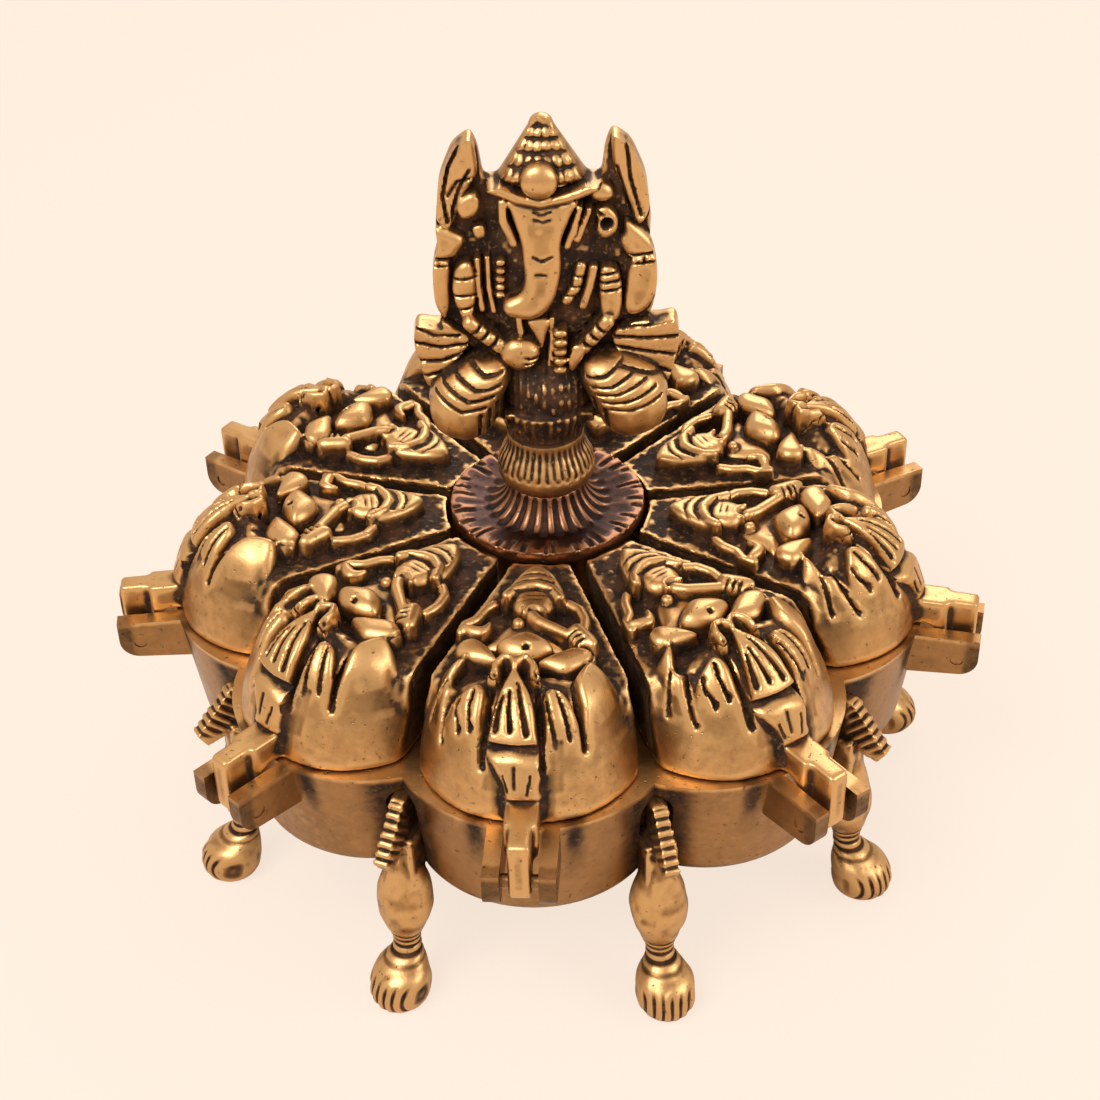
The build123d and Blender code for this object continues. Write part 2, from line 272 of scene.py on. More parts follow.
class Value:
    """A shader socket that Python's operators turn into Math nodes."""

    def __init__(self, graph, socket):
        self.graph = graph
        self.socket = socket

    def __add__(self, other):
        return self.graph.math("ADD", self, other)

    __radd__ = __add__

    def __sub__(self, other):
        return self.graph.math("SUBTRACT", self, other)

    def __rsub__(self, other):
        return self.graph.math("SUBTRACT", other, self)

    def __mul__(self, other):
        return self.graph.math("MULTIPLY", self, other)

    __rmul__ = __mul__

    def clamp(self):
        return self.graph.node("ShaderNodeClamp", {}, {"Value": self}, "Result")

    def step(self, low, high):
        """0 below `low`, 1 above `high` and smooth between them."""
        return self.graph.node(
            "ShaderNodeMapRange", {"interpolation_type": "SMOOTHSTEP"},
            {"Value": self, "From Min": low, "From Max": high}, "Result",
        )


class Graph:
    """The nodes of a material or of the world, made through one method."""

    def __init__(self, owner):
        self.owner = owner
        owner.use_nodes = True
        self.tree = owner.node_tree
        self.tree.nodes.clear()
        self.place = self.node("ShaderNodeTexCoord", {}, {}, "Object")

    def node(self, kind, settings, inputs, output=None):
        made = self.tree.nodes.new(kind)
        for key, value in settings.items():
            setattr(made, key, value)
        for key, value in inputs.items():
            if isinstance(value, Value):
                self.tree.links.new(value.socket, made.inputs[key])
            else:
                made.inputs[key].default_value = value
        return made if output is None else Value(self, made.outputs[output])

    def end(self, shader, kind="ShaderNodeOutputMaterial"):
        """Ends the graph in this shader."""
        self.node(kind, {}, {"Surface": shader})
        return self.owner

    def math(self, operation, *values):
        inputs = dict(enumerate(values))
        return self.node("ShaderNodeMath", {"operation": operation}, inputs, 0)

    def mix(self, mask, low, high):
        """Colour `low` where the mask is 0 and `high` where it is 1."""
        pair = [c if isinstance(c, Value) else (*c, 1) for c in (low, high)]
        return self.node("ShaderNodeMix", {"data_type": "RGBA"}, {0: mask, 6: pair[0], 7: pair[1]}, 2)

    def noise(self, size, detail, rough):
        """Noise with grains of about `size` mm."""
        inputs = {"Vector": self.place, "Scale": 1 / (size * MM), "Detail": detail, "Roughness": rough}
        return self.node("ShaderNodeTexNoise", {}, inputs, "Fac")

    def attribute(self, name):
        return self.node("ShaderNodeAttribute", {"attribute_name": name}, {}, "Fac")

    def round_axis(self):
        """Radius in mm, angle in radians and height in mm about the box's axis."""
        x, y, z = (self.node("ShaderNodeSeparateXYZ", {}, {"Vector": self.place}, axis) for axis in "XYZ")
        radius = self.math("SQRT", x * x + y * y) * (1 / MM)
        return radius, self.math("ARCTAN2", y, x), z * (1 / MM)

    def bump(self, height, distance, strength):
        """Unevenness too fine for the mesh, up to `distance` mm."""
        inputs = {"Height": height, "Distance": distance * MM, "Strength": strength}
        return self.node("ShaderNodeBump", {}, inputs, "Normal")

    def surface(self, **inputs):
        """Ends the material in a Principled shader with these sockets."""
        names = {key.replace("_", " "): value for key, value in inputs.items()}
        return self.end(self.node("ShaderNodeBsdfPrincipled", {}, names, "BSDF"))


def blend(low, high, share):
    """A colour between two colours."""
    return [a + (b - a) * share for a, b in zip(low, high)]


def antique_brass(name, colours, rubbed=0.3, ground=None, polished=None, by_place_darkening_and_painted_highlight=None):
    """Cast brass, polished where it stands proud and dark where it lies deep.

    `rubbed` is how far its plain faces are polished, and the optional function by place adds darkening, and
    on the tray a painted highlight along its top.
    """
    graph = Graph(bpy.data.materials.new(name))
    blotches = graph.noise(9.0, 4, 0.6)
    mottle = graph.noise(1.6, 3, 0.6)
    grain = graph.noise(0.35, 2, 0.5)
    clouds = graph.noise(3.4, 3, 0.6)
    depth = graph.attribute("hollow") + (mottle - 0.5) * 0.3 + (blotches - 0.5) * 0.3
    if by_place_darkening_and_painted_highlight:
        depth = depth + by_place_darkening_and_painted_highlight(graph)
    dark = depth.step(0.12, 0.40)
    shade = depth.step(-0.02, 0.26)
    proud = (0 - depth).step(-0.02, 0.24)
    specks = graph.noise(0.7, 2, 0.5).step(0.60, 0.70) * 0.55
    pits = graph.noise(0.8, 2, 0.5).step(0.66, 0.74)
    polished = polished or tuple(colours.polished)
    patina = tuple(colours.patina)
    plain = blend(ground or colours.ground, polished, rubbed)
    dull, bright, shaded = (blend((0, 0, 0), plain, share) for share in (0.82, 1.15, 0.32))
    colour = graph.mix(blotches.step(0.35, 0.65), dull, bright)
    colour = graph.mix(proud * 0.85, colour, polished)
    colour = graph.mix(shade * 0.6, colour, shaded)
    soot = graph.mix(clouds.step(0.42, 0.62), patina, tuple(colours.umber))
    colour = graph.mix(dark * 0.96 * (1 - specks), colour, soot)
    colour = graph.mix(pits * 0.5, colour, patina)
    height = (mottle - 0.5) * 0.5 + (grain - 0.5) * 0.3 - pits * 0.8
    return graph.surface(
        Base_Color=colour,
        Metallic=1 - dark * 0.6,
        Roughness=0.36 + (blotches - 0.5) * 0.14 + dark * 0.3 + (grain - 0.5) * 0.1,
        Specular_IOR_Level=0.2,
        Normal=graph.bump(height, 0.09, 0.8),
    )


# Drawing on castings

LATTICE = 89
CURVE_STEPS = 5
FORM_RUBBED = (0.15, 0.6)
CUT_DARK = (0.1, 0.6)


def smooth_step(values, low, high):
    """0 below `low`, 1 above `high` and smooth between them."""
    share = np.clip((values - low) / (high - low), 0, 1)
    return share * share * (3 - 2 * share)


def band(values, start, full, fading, end):
    """1 from `full` to `fading`, falling smoothly to 0 at `start` and `end`."""
    return smooth_step(values, start, full) * (1 - smooth_step(values, fading, end))


def rounded(outline):
    """A closed outline made smooth through its points."""
    points = np.asarray(outline, float)
    before, after, later = (np.roll(points, by, 0) for by in (1, -1, -2))
    bend = 2 * before - 5 * points + 4 * after - later
    twist = 3 * points - before - 3 * after + later
    loop = [
        0.5 * (2 * points + (after - before) * t + bend * t**2 + twist * t**3)
        for t in np.arange(CURVE_STEPS) / CURVE_STEPS
    ]
    loop = np.stack(loop, 1).reshape(-1, 2)
    return np.vstack([loop, loop[:1]])


def line_distance(spots, line):
    """The distance of drawing places from a broken line, and how far along it each one lies."""
    line = np.asarray(line, float)
    lengths = np.linalg.norm(np.diff(line, axis=0), axis=1)
    starts = np.concatenate([[0], np.cumsum(lengths)])
    nearest = np.full(len(spots), np.inf)
    share = np.zeros(len(spots))
    for start, end, done, length in zip(line[:-1], line[1:], starts, lengths):
        along = (end - start) / max(length, 1e-9)
        t = np.clip((spots - start) @ along, 0, length)
        distance = np.linalg.norm(spots - start - t[:, None] * along, axis=1)
        closer = distance < nearest
        nearest = np.where(closer, distance, nearest)
        share = np.where(closer, (done + t) / starts[-1], share)
    return nearest, share


def lies_inside(spots, loop):
    """Which drawing places lie inside a closed loop."""
    x, y = spots.T
    inside = np.zeros(len(spots), bool)
    for (x0, y0), (x1, y1) in zip(loop[:-1], loop[1:]):
        if y0 == y1:
            continue
        crosses = (y0 > y) != (y1 > y)
        inside ^= crosses & (x < x0 + (y - y0) * (x1 - x0) / (y1 - y0))
    return inside


def pillow(spots, outline, edge):
    """A form that swells from 0 at its outline to 1 at `edge` mm inside it."""
    loop = rounded(outline)
    near = (np.abs(spots - loop.mean(0)) < np.ptp(loop, axis=0)).all(1)
    share = np.zeros(len(spots))
    places = spots[near]
    depth = np.where(lies_inside(places, loop), line_distance(places, loop)[0], 0)
    share[near] = np.sqrt(1 - (1 - np.clip(depth / edge, 0, 1)) ** 2)
    return share


def strand(spots, line, start_width, end_width=None, power=0.5):
    """A form along a line, from 0 at its half width to 1 on the line: round, or sharper by its power."""
    line = np.asarray(line, float)
    reach = max(start_width, end_width or 0) + 0.1
    near = ((spots > line.min(0) - reach) & (spots < line.max(0) + reach)).all(1)
    share = np.zeros(len(spots))
    distance, along = line_distance(spots[near], line)
    width = start_width + ((end_width or start_width) - start_width) * along
    share[near] = np.clip(1 - (distance / width) ** 2, 0, 1) ** power
    return share


def lumps(spots, size, seed):
    """Smooth unevenness from -1 to 1 with lumps about `size` mm wide."""
    lattice = np.random.default_rng(seed).uniform(-1, 1, (LATTICE, LATTICE))
    scaled = spots / size
    cell = np.floor(scaled).astype(int)
    share = smooth_step(scaled - cell, 0, 1)
    x, y = (cell % LATTICE).T
    x_next, y_next = ((cell + 1) % LATTICE).T
    low = lattice[x, y] + (lattice[x_next, y] - lattice[x, y]) * share[:, 0]
    high = lattice[x, y_next] + (lattice[x_next, y_next] - lattice[x, y_next]) * share[:, 0]
    return low + (high - low) * share[:, 1]


def waves(angle, power=2):
    """Grooves by an angle: 1 in the middle of each groove and 0 between them."""
    return (0.5 + 0.5 * np.cos(angle)) ** power


def ridged(values, pitch):
    """A groove at every `pitch`."""
    return waves(2 * math.pi * values / pitch)


# The lid's relief, drawn as (radius, across) in mm on the first lid

FIELD = 57.4
FIELD_TO_DOME = (44.6, 50.5)
FIELD_DARK = (46, 50)
DOME_CENTRE = 46.0
DOME_FOOT = 42.0
DOME_RISE = 20.2
DOME_RADIUS = 18.4
DOME_SQUARENESS = 3.5
DOME_SHOULDER = 0.8
DOME_FACES_OUT = (47, 51)
SKIRT_WAIST = (45.0, 48.0)
SKIRT_HEM = (11.0, 14.5)
SKIRT_FADES = (12.0, 15.5)
SKIRT_RUBBED = (0.2, 0.7)
SKIRT_SUNK = 1.3
KNOT_RISE = 1.7
NAVEL_DEPTH = 1.4
CARVED_ABOVE = 50
CARVED_REACH = (15.0, 16.4)
OUTWARD = 0.3
SIDEWAYS = 0.25
PLAIN_SKIN = 0.95
CARVED_SKIN = 0.7
LID_WALL = 1.2
TAIL_RISE = 1.7
TAIL_HEIGHTS = (48.5, 49.6, 55.8, 57.0)
TAIL_SIDES = (5.6, 6.4)
TAIL_SKIN = 0.8
TAIL_RADIUS = 57

field_forms = {
    "crown": (3.3, 1.3, [
        (20.9, -0.3), (22.4, -2.2), (25.0, -3.7), (27.8, -4.8), (29.6, -4.9), (28.6, -2.4), (27.9, 0.1),
        (28.6, 2.2), (30.0, 4.1), (28.0, 4.5), (25.0, 3.4), (22.6, 2.0),
    ]),
    "face": (3.4, 1.7, [
        (28.2, -3.0), (30.8, -3.6), (33.0, -2.8), (33.8, -0.4), (33.0, 2.1), (30.8, 3.1), (28.4, 2.6),
        (27.6, 0),
    ]),
    "blob": (2.7, 0.9, [(34.4, -3.2), (34.0, -2.0), (35.2, -1.2), (36.1, -2.2), (35.6, -3.2)]),
    "chest": (1.5, 2.4, [
        (33.6, -3.2), (34.2, 0.0), (34.6, 3.4), (38.4, 4.6), (41.0, 5.0), (40.6, -6.6), (37.6, -6.0),
    ]),
    "hand": (4.2, 1.6, [
        (37.6, 5.6), (36.5, 7.3), (38.2, 9.0), (40.7, 10.5), (42.3, 9.9), (41.9, 8.4), (41.6, 6.6),
        (40.2, 5.7),
    ]),
    "elbow": (2.8, 1.2, [
        (37.0, -11.2), (38.4, -9.4), (38.4, -7.4), (36.2, -6.3), (35.0, -6.8), (36.3, -8.0), (36.0, -9.6),
        (35.8, -10.9),
    ]),
    "belly": (4.6, 2.6, [
        (42.2, -5.4), (40.2, -3.9), (38.7, -0.8), (40.2, 2.2), (42.7, 3.8), (44.2, 2.0), (44.9, -0.8),
        (44.2, -3.7),
    ]),
    "thigh_left": (3.7, 1.7, [
        (43.2, -11.6), (41.0, -10.9), (40.1, -8.8), (41.6, -6.7), (44.0, -5.2), (45.6, -4.6), (45.8, -5.8),
        (45.2, -8.2), (44.7, -10.3),
    ]),
    "thigh_right": (3.9, 2.0, [
        (45.7, 1.2), (43.5, 3.6), (41.8, 6.7), (42.4, 9.2), (44.0, 10.3), (45.6, 9.6), (46.6, 8.0),
        (47.7, 5.9), (47.2, 3.4),
    ]),
}
field_strands = {
    "brim": (4.0, 0.9, 0.9, [
        (29.9, -4.6), (28.4, -3.6), (27.2, -1.8), (26.8, 0.1), (27.7, 2.2), (30.2, 3.9),
    ]),
    "mouth": (3.5, 0.5, 0.5, [(33.6, -1.5), (32.5, -1.2), (32.0, 0.0), (32.5, 1.2), (33.6, 1.7)]),
    "trunk": (3.7, 1.05, 0.95, [(34.4, -0.2), (35.8, 1.0), (37.2, 3.2), (38.9, 5.8)]),
    "lotus_right": (2.4, 0.95, 0.95, [(29.8, 5.2), (31.1, 7.0), (33.6, 8.0), (36.2, 8.0)]),
    "lotus_left": (2.2, 0.9, 0.9, [(30.0, -6.6), (31.6, -8.0), (34.0, -9.1), (35.4, -10.9), (37.2, -11.2)]),
}
skirt_forms = {
    "panel": (1.0, 0.8, [
        (48.9, -1.8), (51.4, -2.9), (54.2, -3.9), (56.4, -4.6), (58.4, -5.1), (60.6, -5.6), (61.2, -1.6),
        (60.5, 2.3), (58.8, 2.1), (56.7, 1.8), (54.4, 1.0), (51.6, -0.4),
    ]),
    "lobe_left": (0.7, 1.0, [
        (51.6, -7.0), (51.7, -8.9), (52.3, -10.8), (54.0, -11.9), (58.0, -12.6), (62.0, -8.0), (60.0, -6.9),
        (57.2, -6.6), (55.4, -6.2), (53.4, -6.0),
    ]),
    "lobe_right": (0.7, 1.0, [
        (53.4, 3.0), (52.8, 4.4), (53.2, 5.9), (54.4, 7.1), (56.6, 8.3), (61.0, 8.8), (63.0, 4.0),
        (60.0, 3.4), (57.0, 3.0), (55.0, 2.8),
    ]),
    "leaf_left": (0.9, 1.3, [
        (44.5, -9.3), (46.6, -10.2), (48.6, -11.6), (50.6, -11.8), (52.6, -13.2), (56.0, -14.0),
        (54.0, -16.5), (49.0, -16.5), (46.2, -14.4), (44.6, -11.0),
    ]),
    "leaf_right": (0.9, 1.3, [
        (45.9, 8.7), (48.6, 7.6), (51.4, 7.4), (54.4, 8.4), (57.8, 9.8), (59.0, 13.0), (54.0, 16.0),
        (49.6, 15.4), (46.6, 12.4), (45.6, 10.2),
    ]),
}
skirt_cuts = (
    (1.0, 0.2, 0.62, [(54.6, -3.0), (56.6, -3.7), (58.5, -4.1)]),
    (1.0, 0.2, 0.46, [(54.2, -2.2), (56.6, -2.2), (59.0, -1.9)]),
    (1.0, 0.2, 0.54, [(52.8, -1.1), (56.2, -0.4), (59.3, 0.5)]),
    (1.0, 0.25, 0.5, [(52.8, -10.0), (54.2, -10.2), (56.0, -9.9)]),
    (1.1, 0.25, 0.55, [(52.8, -7.7), (54.6, -8.2), (56.9, -8.0)]),
    (0.9, 0.2, 0.42, [(54.6, 3.2), (57.0, 3.9), (59.2, 4.8)]),
    (0.9, 0.2, 0.42, [(53.6, 4.7), (56.0, 5.9), (58.0, 6.9)]),
    (1.2, 0.4, 0.85, [(51.5, -4.7), (54.6, -5.4), (57.6, -5.9), (60.2, -6.1)]),
    (1.1, 0.4, 0.75, [(51.4, 1.6), (54.4, 2.1), (57.6, 2.6), (61.2, 2.9)]),
    (1.1, 0.35, 0.62, [(52.4, 7.2), (55.0, 7.9), (57.6, 9.0)]),
    (1.0, 0.3, 0.5, [(49.6, -11.0), (52.0, -12.2), (54.9, -12.7)]),
    (0.8, 0.22, 0.45, [(48.0, -12.2), (49.4, -13.4), (50.6, -14.6)]),
)
field_cuts = (
    (0.35, 0.3, 0.3, [(24.6, -3.0), (23.9, -1.4), (23.8, 0.2), (24.6, 2.4)]),
    (0.35, 0.3, 0.3, [(26.6, -3.4), (25.6, -1.6), (25.4, 0.2), (26.2, 2.6)]),
    (0.4, 0.25, 0.25, [(28.9, -3.4), (28.4, -1.6), (28.2, 0.2), (28.8, 2.6)]),
    (0.16, 0.2, 0.2, [(30.0, -2.6), (29.7, 0.0), (29.9, 2.2)]),
    (0.16, 0.2, 0.2, [(31.1, -2.7), (30.8, 0.0), (31.0, 2.3)]),
    (1.0, 0.3, 0.3, [(41.0, 5.7), (39.9, 7.5)]),
    (1.0, 0.3, 0.3, [(41.9, 6.3), (40.6, 8.2)]),
    (0.7, 0.25, 0.25, [(40.0, 5.3), (39.0, 6.9)]),
    (0.5, 0.25, 0.25, [(45.4, 9.3), (44.2, 9.8), (42.8, 9.6)]),
)
knot_line = [
    (51.2, -4.7), (49.4, -4.6), (47.9, -3.7), (48.1, -2.3), (49.3, -1.8), (48.3, -0.9), (47.9, 0.0),
    (49.4, 1.0), (51.6, 1.3),
]
navel_line = [(43.3, -0.6), (43.3, -0.5)]
tail_outline = [
    (-5.4, 54.9), (-1.4, 55.9), (2.6, 54.9), (3.2, 53.2), (2.6, 50.4), (2.9, 47.6), (-2.9, 47.6),
    (-2.9, 50.4), (-4.4, 53.0),
]
bun_crease = [(-5.2, 55.3), (-1.5, 56.2), (2.6, 55.4)]
tail_sides = (
    (1.3, 1.5, [(-3.4, 53.4), (-3.3, 46.0)]),
    (1.3, 1.5, [(3.6, 54), (3.4, 46)]),
)
tail_cuts = (
    (0.5, 0.2, 0.35, [(-1.3, 54.2), (-1.2, 51.0)]),
    (0.45, 0.2, 0.3, [(-3.0, 52.8), (-2.2, 50.2)]),
    (0.45, 0.2, 0.3, [(1.3, 53.0), (0.7, 50.0)]),
    (0.4, 0.2, 0.3, [(-3.6, 51.0), (-2.6, 49.4)]),
)


def plain_lid(r, s):
    """The uncarved lid's height, its dome's height and the way its skin faces, as (r, s, z)."""
    reach = np.maximum(np.hypot(r - DOME_CENTRE, s), 1e-6)
    share = np.clip(reach / DOME_RADIUS, 0, 0.995)
    fall = 1 - share**DOME_SQUARENESS
    dome = DOME_FOOT + DOME_RISE * fall**DOME_SHOULDER
    slope = DOME_RISE * DOME_SHOULDER * fall ** (DOME_SHOULDER - 1)
    slope = slope * DOME_SQUARENESS * share ** (DOME_SQUARENESS - 1) / DOME_RADIUS
    steep = np.clip(slope, 0, 4) * smooth_step(r, *DOME_FACES_OUT)
    facing = np.stack([steep * (r - DOME_CENTRE) / reach, steep * s / reach, np.ones(len(r))], 1)
    facing /= np.linalg.norm(facing, axis=1)[:, None]
    return FIELD + (dome - FIELD) * smooth_step(r, *FIELD_TO_DOME), dome, facing


def rough_casting(spots):
    """The uneven ground that a sand casting leaves, in mm."""
    return 0.17 * lumps(spots, 1.7, 3) + 0.11 * lumps(spots, 0.8, 4)


def lid_surface(spots):
    """How far the carving stands off the plain lid, and how much patina lies there."""
    r, s = spots.T
    base, dome, _ = plain_lid(r, s)
    reach = np.hypot(r - DOME_CENTRE, s)
    skirt = (1 - smooth_step(reach, *SKIRT_HEM)) * smooth_step(r, *SKIRT_WAIST)
    patina = np.maximum(1 - smooth_step(r, *FIELD_DARK), skirt)
    stand = -SKIRT_SUNK * skirt + rough_casting(spots) * patina + 0.06 * lumps(spots, 3.1, 5)
    rises = [(crown, edge, pillow(spots, outline, edge)) for crown, edge, outline in field_forms.values()]
    for crown, start, end, line in field_strands.values():
        rises.append((crown, start, strand(spots, line, start, end)))
    for crown, edge, form in rises:
        rise = FIELD + crown - min(edge, crown) * (1 - form) - base
        stand = np.where(form > 0, np.maximum(stand, rise), stand)
        patina = patina * (1 - smooth_step(form, *FORM_RUBBED))
    fade = 1 - smooth_step(reach, *SKIRT_FADES)
    folds = [
        (crown if name == "panel" else crown * fade, pillow(spots, outline, edge))
        for name, (crown, edge, outline) in skirt_forms.items()
    ]
    for crown, form in (*folds, (KNOT_RISE, strand(spots, knot_line, 0.95))):
        stand = np.maximum(stand, stand + (dome - base + crown - stand) * form)
        patina = patina * (1 - smooth_step(form, *SKIRT_RUBBED))
    for depth, start, end, line in (*skirt_cuts, *field_cuts):
        cut = strand(spots, line, start, end, 1.0)
        stand = stand - depth * cut
        patina = np.maximum(patina, smooth_step(cut, *CUT_DARK) * min(1, 1.6 * depth))
    navel = strand(spots, navel_line, 0.55, None, 1.0)
    return stand - NAVEL_DEPTH * navel, np.maximum(patina, smooth_step(navel, 0.2, 0.6))


def lid_places(points):
    """Places of the lid's drawing for points of the first lid."""
    return np.stack([-points[:, 1], points[:, 0]], 1)


def carve_lid(lid, voxel):
    """Draws the seated figure and its skirt on the first lid's skin."""
    for fine in (False, True):
        points, normals = read(lid)
        spots = lid_places(points)
        r, s = spots.T
        stand, _ = lid_surface(spots)
        base, _, facing = plain_lid(r, s)
        facing = np.stack([facing[:, 1], -facing[:, 0], facing[:, 2]], 1)
        now = (points[:, 2] - base) * facing[:, 2]
        reach = np.hypot(r - DOME_CENTRE, s)
        drawn = np.where(r < DOME_CENTRE, 1, 1 - smooth_step(reach, *CARVED_REACH))
        drawn = drawn * (points[:, 2] > CARVED_ABOVE)
        outward = (normals * facing).sum(1)
        in_skin = now > (stand - CARVED_SKIN if fine else -PLAIN_SKIN)
        outer = (outward > OUTWARD) | (in_skin & (outward > -OUTWARD))
        move = np.where(outer, stand - now, np.minimum(stand - LID_WALL - now, 0))
        move = np.where(outer & (outward < SIDEWAYS), np.minimum(move, 0), move) * drawn
        write(lid, points + facing * move[:, None])
        if not fine:
            fuse(lid, voxel)


def carve_tail(lid):
    """Draws the bun and its tail on the outer side of the first lid's dome."""
    points, _ = read(lid)
    r, s, z = -points[:, 1], points[:, 0], points[:, 2]
    level = np.clip((z - DOME_FOOT) / DOME_RISE, 0, 1)
    share = (1 - level ** (1 / DOME_SHOULDER)) ** (1 / DOME_SQUARENESS)
    skin = DOME_CENTRE + np.sqrt(np.clip((DOME_RADIUS * share) ** 2 - s**2, 1, None))
    spots = np.stack([s, z], 1)
    bun = TAIL_RISE * pillow(spots, tail_outline, 1.5)
    for depth, start, end, line in ((0.9, 0.5, 0.5, bun_crease), *tail_cuts):
        bun -= depth * strand(spots, line, start, end, 1.0)
    reach = band(z, *TAIL_HEIGHTS) * (1 - smooth_step(np.abs(s), *TAIL_SIDES))
    outer = (r > skin - TAIL_SKIN) & (r > TAIL_RADIUS)
    points[:, 1] -= np.where(outer, (skin + bun - r) * reach, 0)
    write(lid, points)


def lid_patina_and_gap_shade(lid):
    """How dark each point of the first lid lies by its drawing, with painted shade on its walls that face the
    gaps between the lids.
    """
    points, normals = read(lid)
    spots = lid_places(points)
    r, s = spots.T
    z = points[:, 2]
    on_top = smooth_step(z, 53.5, 55.5) * (normals[:, 2] > -0.2)
    # Painted shade: the lid's upright walls that face the gaps between the lids are darkened.
    painted_gap_shade = (np.abs(normals[:, 2]) < 0.4) * (1 - smooth_step(r, 50, 56)) * (z < 56)
    places = np.stack([s, z], 1)
    beside = sum(strand(places, line, start, end) for start, end, line in tail_sides)
    crease = strand(places, bun_crease, 0.6)
    for _, start, end, line in tail_cuts:
        crease = np.maximum(crease, strand(places, line, 1.4 * start, 1.4 * end))
    tail = np.clip(0.3 * beside + 0.5 * crease, 0, 0.6) * (r > TAIL_RADIUS + 1)
    knuckle = 0.16 * smooth_step(r, 70.0, 71.5) - 0.12 * smooth_step(r, 64.0, 65.0)
    return 0.56 * lid_surface(spots)[1] * on_top + 0.32 * painted_gap_shade + tail + knuckle


# The finial's figure, drawn as (across, height) in mm on the plane that it faces

FIGURE_TURN = math.radians(4)
FIGURE_MIDDLE = 0.7
PLATE_GROUND = 1.1
TORSO_DEPTH = 3.0
TORSO_MIDDLE = (0.6, 99)
TORSO_SIZE = (11.0, 17.0)
SEAT_TOP = 79.3
SEAT_RADIUS = 7.2
SEAT_SIDE = 7.4
SEAT_FADES = (83, 92)
SEAT_HEIGHTS = (73.0, 74.2, 79.0, 80.0)
SEAT_FLUTES = 34
FOOT_HEIGHTS = (66.6, 67.6, 71.0, 72.4)
FOOT_FLUTES = 38
FOOT_LINE = 66.9
FOOT_DOTS = 30
NECK_LINE = 73.2
KNEES = ((-12.6, 80.6), (14.0, 80.6))
KNEE_SIZE = (6.0, 5.2, 5.6)
KNEE_AHEAD = 3.2
KNEES_FROM = 74
CROWN_LEVELS = (116.4, 119.3, 122.0, 125.4, 127.8, 129.3)
CROWN_WIDTHS = (8.4, 7.5, 6.0, 3.9, 2.1, 0.4)
CROWN_ROWS = (119.0, 121.5, 123.7, 125.7, 127.5, 129.4)
CROWN_RIBS = 26
TIP_ROUNDS = 60
PLATE_FRONT = 0.6
PLATE_LEAST = 0.2
RELIEF_FRONT = 2.2

